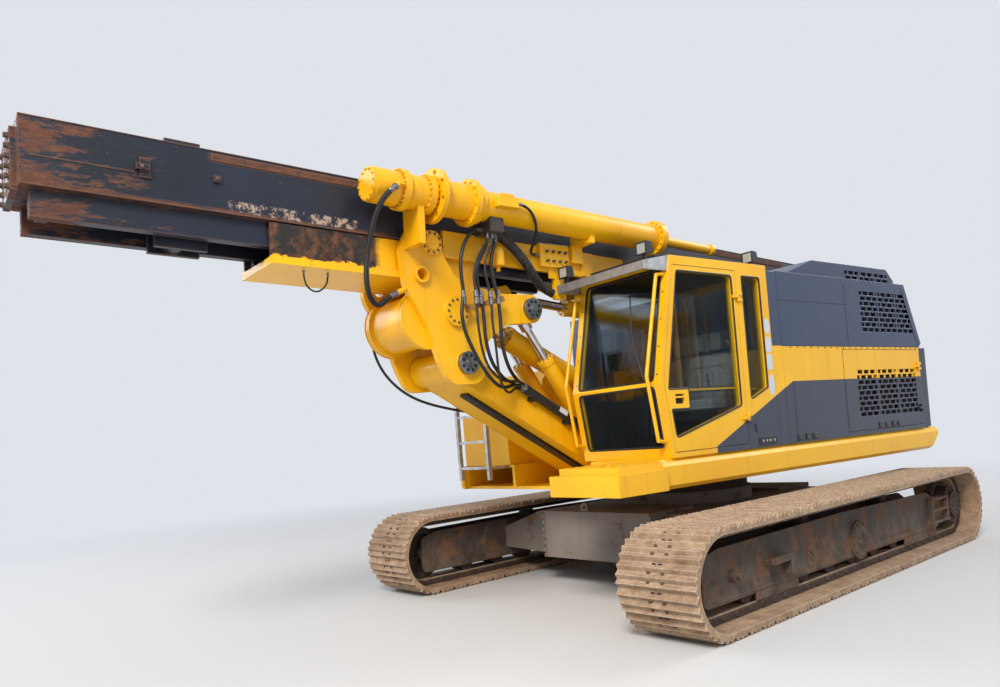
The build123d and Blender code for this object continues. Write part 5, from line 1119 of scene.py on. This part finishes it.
def make_cab_details():
    """Window seals, wiper, painted shade of the door recess, lamps and the things seen through the panes."""
    quarter = [(395, 1905, 30), (395, 2975, 30), (690, 2975, 30), (690, 1795, 30)]
    bars("quarter_seal", "upper", rubber, 9, [rounded(quarter, on_door)], closed=True)
    pillar = 96
    front = {up: cab_front(up) - pillar for up in (1500, 1750, 1925, 3020)}
    door = [
        (848, 1745, 40), (front[1500], 1500, 40), (front[1750], 1750, 12), (1615, 1750, 12),
        (1615, 1925, 12), (front[1925], 1925, 12), (front[3020], 2970, 40), (848, 2970, 40)]
    bars("door_seal", "cab_door", rubber, 9, [rounded(door, on_door)], closed=True)
    screens = [rounded([(475, bottom, 40), (1375, bottom, 40), (1375, top, 40), (475, top, 40)],
                       lambda x, up: on_screen(x, up, -5)) for bottom, top in ((1430, 1955), (2005, 3000))]
    bars("screen_seals", "upper", rubber, 11, screens, closed=True)
    # black plate on the door: painted shade standing for its recess
    plates("door_recess_shade", "cab_door", black_and_hole_shade, mm, [(1428.1, 1430, 1686, 1804, 1796, 1879)], 0.5)
    plates("door_rail", "cab_door", yellow, mm, [(1392, 1406, 830, 1640, 1905, 1925)], 4)
    bars("wiper_arm", "upper", plastic, 7, [
        [on_screen(1290, 2030, 30), on_screen(1220, 2200, 34), on_screen(1075, 2560, 26)],
        [on_screen(1290, 2030, 34), on_screen(1290, 2030, -4)]])
    bars("wiper_blade", "upper", rubber, 6, [[on_screen(1140, 2250, 8), on_screen(1040, 2820, 8)]])
    make_seat()
    plates("cab_floor_mat", "upper", rubber, mm, [(470, 1380, 340, 1820, 1390.6, 1398)], 3)
    plates("cab_lining", "upper", plastic, mm, [
        (470, 1380, 340, 1640, 3028, 3038), (470, 500, 420, 1600, 1398, 1880),
        (1346, 1382, 340, 770, 1398, 1780)], 6)
    plates("cab_display", "upper", black_and_hole_shade, mm, [(490, 690, 1586, 1590, 2185, 2360)], 1)
    bars("cab_levers", "upper", plastic, 14, [
        [mm(665, 960, 1950), mm(665, 975, 2080)], [mm(1185, 960, 1950), mm(1185, 975, 2080)],
        [mm(820, 1500, 1450), mm(820, 1440, 1950)], [mm(900, 1500, 1450), mm(900, 1440, 1950)]], sides=3)
    bars("cab_rails", "upper", yellow, 11, [
        [mm(1340, 700, 1900), mm(1340, 700, 2330), mm(1340, 760, 2380)],
        [mm(1340, 420, 1900), mm(1340, 700, 1900)]])
    lamps = []
    for x, forward in ((460, 2000), (1330, 1900)):
        up = 3098 - 63 * (forward - 15 - 1730) / 330
        lamps.append((x - 49, x + 49, forward + 38.2, forward + 42, up + 53, up + 147))
    lamps.append((1281, 1379, 368.2, 372, 3153, 3247))
    plates("lamp_lenses", "upper", lens, mm, lamps, 2)
    rims = []
    for x_low, x_high, _, front, low, high in lamps:
        corners = ((x_low, low), (x_high, low), (x_high, high), (x_low, high))
        rims.append([mm(x, front + 3, up) for x, up in corners])
    bars("lamp_rims", "upper", rubber, 4, rims, closed=True)
    plates("mirror_glass", "upper", chrome, mm, [(373.2, 374, 1628, 1802, 2356, 2564)], 0.3)
    ahead = Vector((0, -0.97, 0.23))
    rivets = [(on_screen(x, up, 0.2), ahead) for x in (440, 1410) for up in (2060, 2300, 2540, 2780)]
    set_out("pillar_rivets", "upper", bolt_steel, SOCKETS, rivets, radius=8, height=3)
    treads = []
    for row in range(7):
        for column in range(11):
            place = mm(780 + column * 62 + 31 * (row % 2), 2090 + row * 72, 1310.1)
            treads.append((place, UP, Vector((0.7, 0.7 * (-1) ** column, 0))))
    set_out("tread_bars", "upper", yellow, WEBS, treads, length=34, width=9, height=5)


def make_head_details():
    """Bolts of the pin covers, flanges and discs, painted shade in the screw sockets of two pin covers, weld
    beads, valves and couplings.
    """
    sockets, cover_bolts, beads, flange_bolts = [], [], [], []
    for side in (1, -1):
        way = LEFT * side
        for x, forward, up, radius, count, bolts in (
                (428.1, 3220, 2300, 68, 8, sockets), (428.1, 2420, 2800, 68, 8, sockets),
                (404.1, 3500, 3330, 87, 10, cover_bolts), (416.1, 3290, 2750, 100, 12, cover_bolts)):
            bolts += bolt_circle(mm(side * x, forward, up), way, radius, count)
        for forward, up, radius, x in (
                (3290, 2750, 132, 380), (3627, 3050, 74, 380), (3500, 3330, 107, 380), (3540, 2700, 237, 245),
                (3540, 2700, 267, 314), (3220, 2300, 101, 380), (2420, 2800, 101, 380)):
            beads.append(circle(mm(side * x, forward, up), AHEAD, UP, radius, 48))
    # black discs on two pin covers: painted shade in the sunken screw sockets
    set_out("cover_socket_shade", "head", black_and_hole_shade, SOCKETS, sockets, "bare_steel", radius=15, height=4)
    set_out("cover_bolts", "head", bolt_steel, BOLTS, cover_bolts, radius=12, height=11)
    bars("head_welds", "head", yellow, 5.5, beads, closed=True)
    for back, radius, count, way in (
            (2640, 152, 24, 1), (2700, 152, 24, -1), (2890, 149, 20, 1), (2950, 149, 20, -1),
            (2370, 116, 12, 1), (3400, 148, 16, 1), (3450, 148, 16, -1), (5720, 156, 16, 1),
            (5790, 130, 16, -1)):
        middle = on_leader(545, back - 0.2 * way, -130)
        flange_bolts += bolt_circle(middle, LEADER_AHEAD * way, radius, count)
    set_out("flange_bolts", "head", yellow, BOLTS, flange_bolts, "bare_steel", radius=11, height=14)
    disc_bolts = bolt_circle(on_leader(545, 2974.8, -130), LEADER_AHEAD, 112, 12)
    disc_bolts += bolt_circle(on_leader(545, 3329.8, -130), LEADER_AHEAD, 170, 14)
    set_out("disc_bolts", "drive_disc_body", yellow, BOLTS, disc_bolts, "bare_steel", radius=11, height=14)
    plates("tube_valve", "head", fitting_paint, mm, [
        (676, 745, 2780, 3010, 3600, 3690), (690, 735, 2820, 2960, 3690, 3722),
        (560, 690, 2850, 2950, 3660, 3700)], 5)
    plates("valve_lid", "head", silver, mm, [(345, 391, 1878, 2252, 3430.1, 3440)], 2)
    plates("leader_feet", "head", yellow, on_leader, [
        (346, 372, 3650, 3780, -560, -340), (346, 366, 4880, 5040, -570, -330)], 4)
    ports = [(mm(391.2, forward, up), LEFT) for forward in (1930, 2010, 2090, 2170) for up in (3270, 3360)]
    set_out("valve_ports", "head", bolt_steel, FERRULES, ports, radius=13, height=30)
    studs = [(mm(474.2, 3100 + 30 * n, 2800 - 7 * n), LEFT) for n in (-5, -2, 1, 4)]
    set_out("clamp_nuts", "head", bolt_steel, BOLTS, studs, radius=12, height=8)
    couplings = []
    for x, forward, up in ((500, 3283, 2850), (500, 3093, 2862), (500, 2901, 2868), (546, 3184, 2850),
                           (546, 3022, 2850)):
        couplings += [(mm(x, forward, up), UP), (mm(x, forward, up - 6), -UP)]
    set_out("hose_couplings", "head", steel, FERRULES, couplings, radius=20, height=58)


def make_leader_details():
    """Nuts of the end plate and brackets, weld beads and rubbing strips of the leader."""
    nuts = [(on_leader(x, -42.2, -120 - number * 66), LEADER_AHEAD)
            for x in (-200, 200) for number in range(6)]
    set_out("end_nuts", "leader", dark_iron, BOLTS, nuts, radius=24, height=30)
    beads = []
    for side in (1, -1):
        for x, start, end, high in ((301, 4, 10550, -3), (301, 4, 10550, -447), (171, 62, 4758, -452)):
            beads.append([on_leader(side * x, back, high) for back in (start, end)])
    bars("leader_beads", "leader", navy, 5, beads)
    plates("leader_strips", "leader", navy, on_leader, [
        (300.2, 306, 1230, 10400, -76, -24), (-306, -300.2, 1230, 10400, -76, -24),
        (300.2, 304, 60, 700, -262, -250), (300.2, 305, 760, 10300, -452, -440)], 1.5)
    set_out("bracket_nuts", "leader", dark_iron, BOLTS, [
        (on_leader(334.2, 740, -220), LEFT), (on_leader(322.2, 1265, -212), LEFT)], radius=16, height=10)


def make_boom_details():
    """Weld beads, blank tag and wrapped hoses of the boom, and the gland bolts of the cylinders."""
    beads = [[on_boom(side * 277, distance, high) for distance in (90, 1900)]
             for side in (1, -1) for high in (-131, 130)]
    bars("boom_welds", "boom", yellow, 5, beads)
    plates("boom_tag", "boom", blank_white, on_boom, [(388, 390, 900, 1010, 110, 160)], 0.5)
    way = (on_boom(0, 1, 0) - on_boom(0, 0, 0)).normalized()
    turns = [(on_boom(345, distance, 128), way) for distance in range(270, 1420, 40)]
    set_out("boom_sleeve_turns", "boom", wrap, RINGS, turns, radius=45, height=30)
    for name, body, foot, eye, shown, places, radius in (
            ("tilt_barrels_bolts", "tilt_barrels", (1350, 1240), (2420, 2800), 538, (187, -187), 66),
            ("push_barrel_bolts", "push_barrel_body", (750, 1780), (2700, 2720), 280, (0,), 96),
            ("neck_barrel_bolts", "neck_barrel_body", (220, 2770), (2480, 3000), 850, (0,), 70)):
        run = Vector(eye) - Vector(foot)
        share = (run.length - shown) / run.length
        way = mm(0, *run).normalized()
        bolts = []
        for x in places:
            end = mm(x, foot[0] + run.x * share, foot[1] + run.y * share)
            bolts += bolt_circle(end + way * 0.0002, way, radius, 8)
        set_out(name, body, bolt_steel, BOLTS, bolts, radius=9, height=9)


make_camera()
make_hoses()
make_world()
make_lamp("key", (9, -14, 13), (0, -1, 1.5), 6.0, 3300, (1.0, 0.97, 0.92))
make_lamp("fill", (-12, -10, 8), (0, -1, 1.5), 9.0, 700, (0.92, 0.95, 1.0))
make_lamp("back", (4, 14, 12), (0, 0, 2), 8.0, 1000, (1.0, 1.0, 1.0))
make_floor()
dress_nodes()
make_track_details()
make_grilles()
make_hood_sides()
make_hood_front()
make_cab_details()
make_head_details()
make_leader_details()
make_boom_details()
scene.view_settings.view_transform = "Standard"
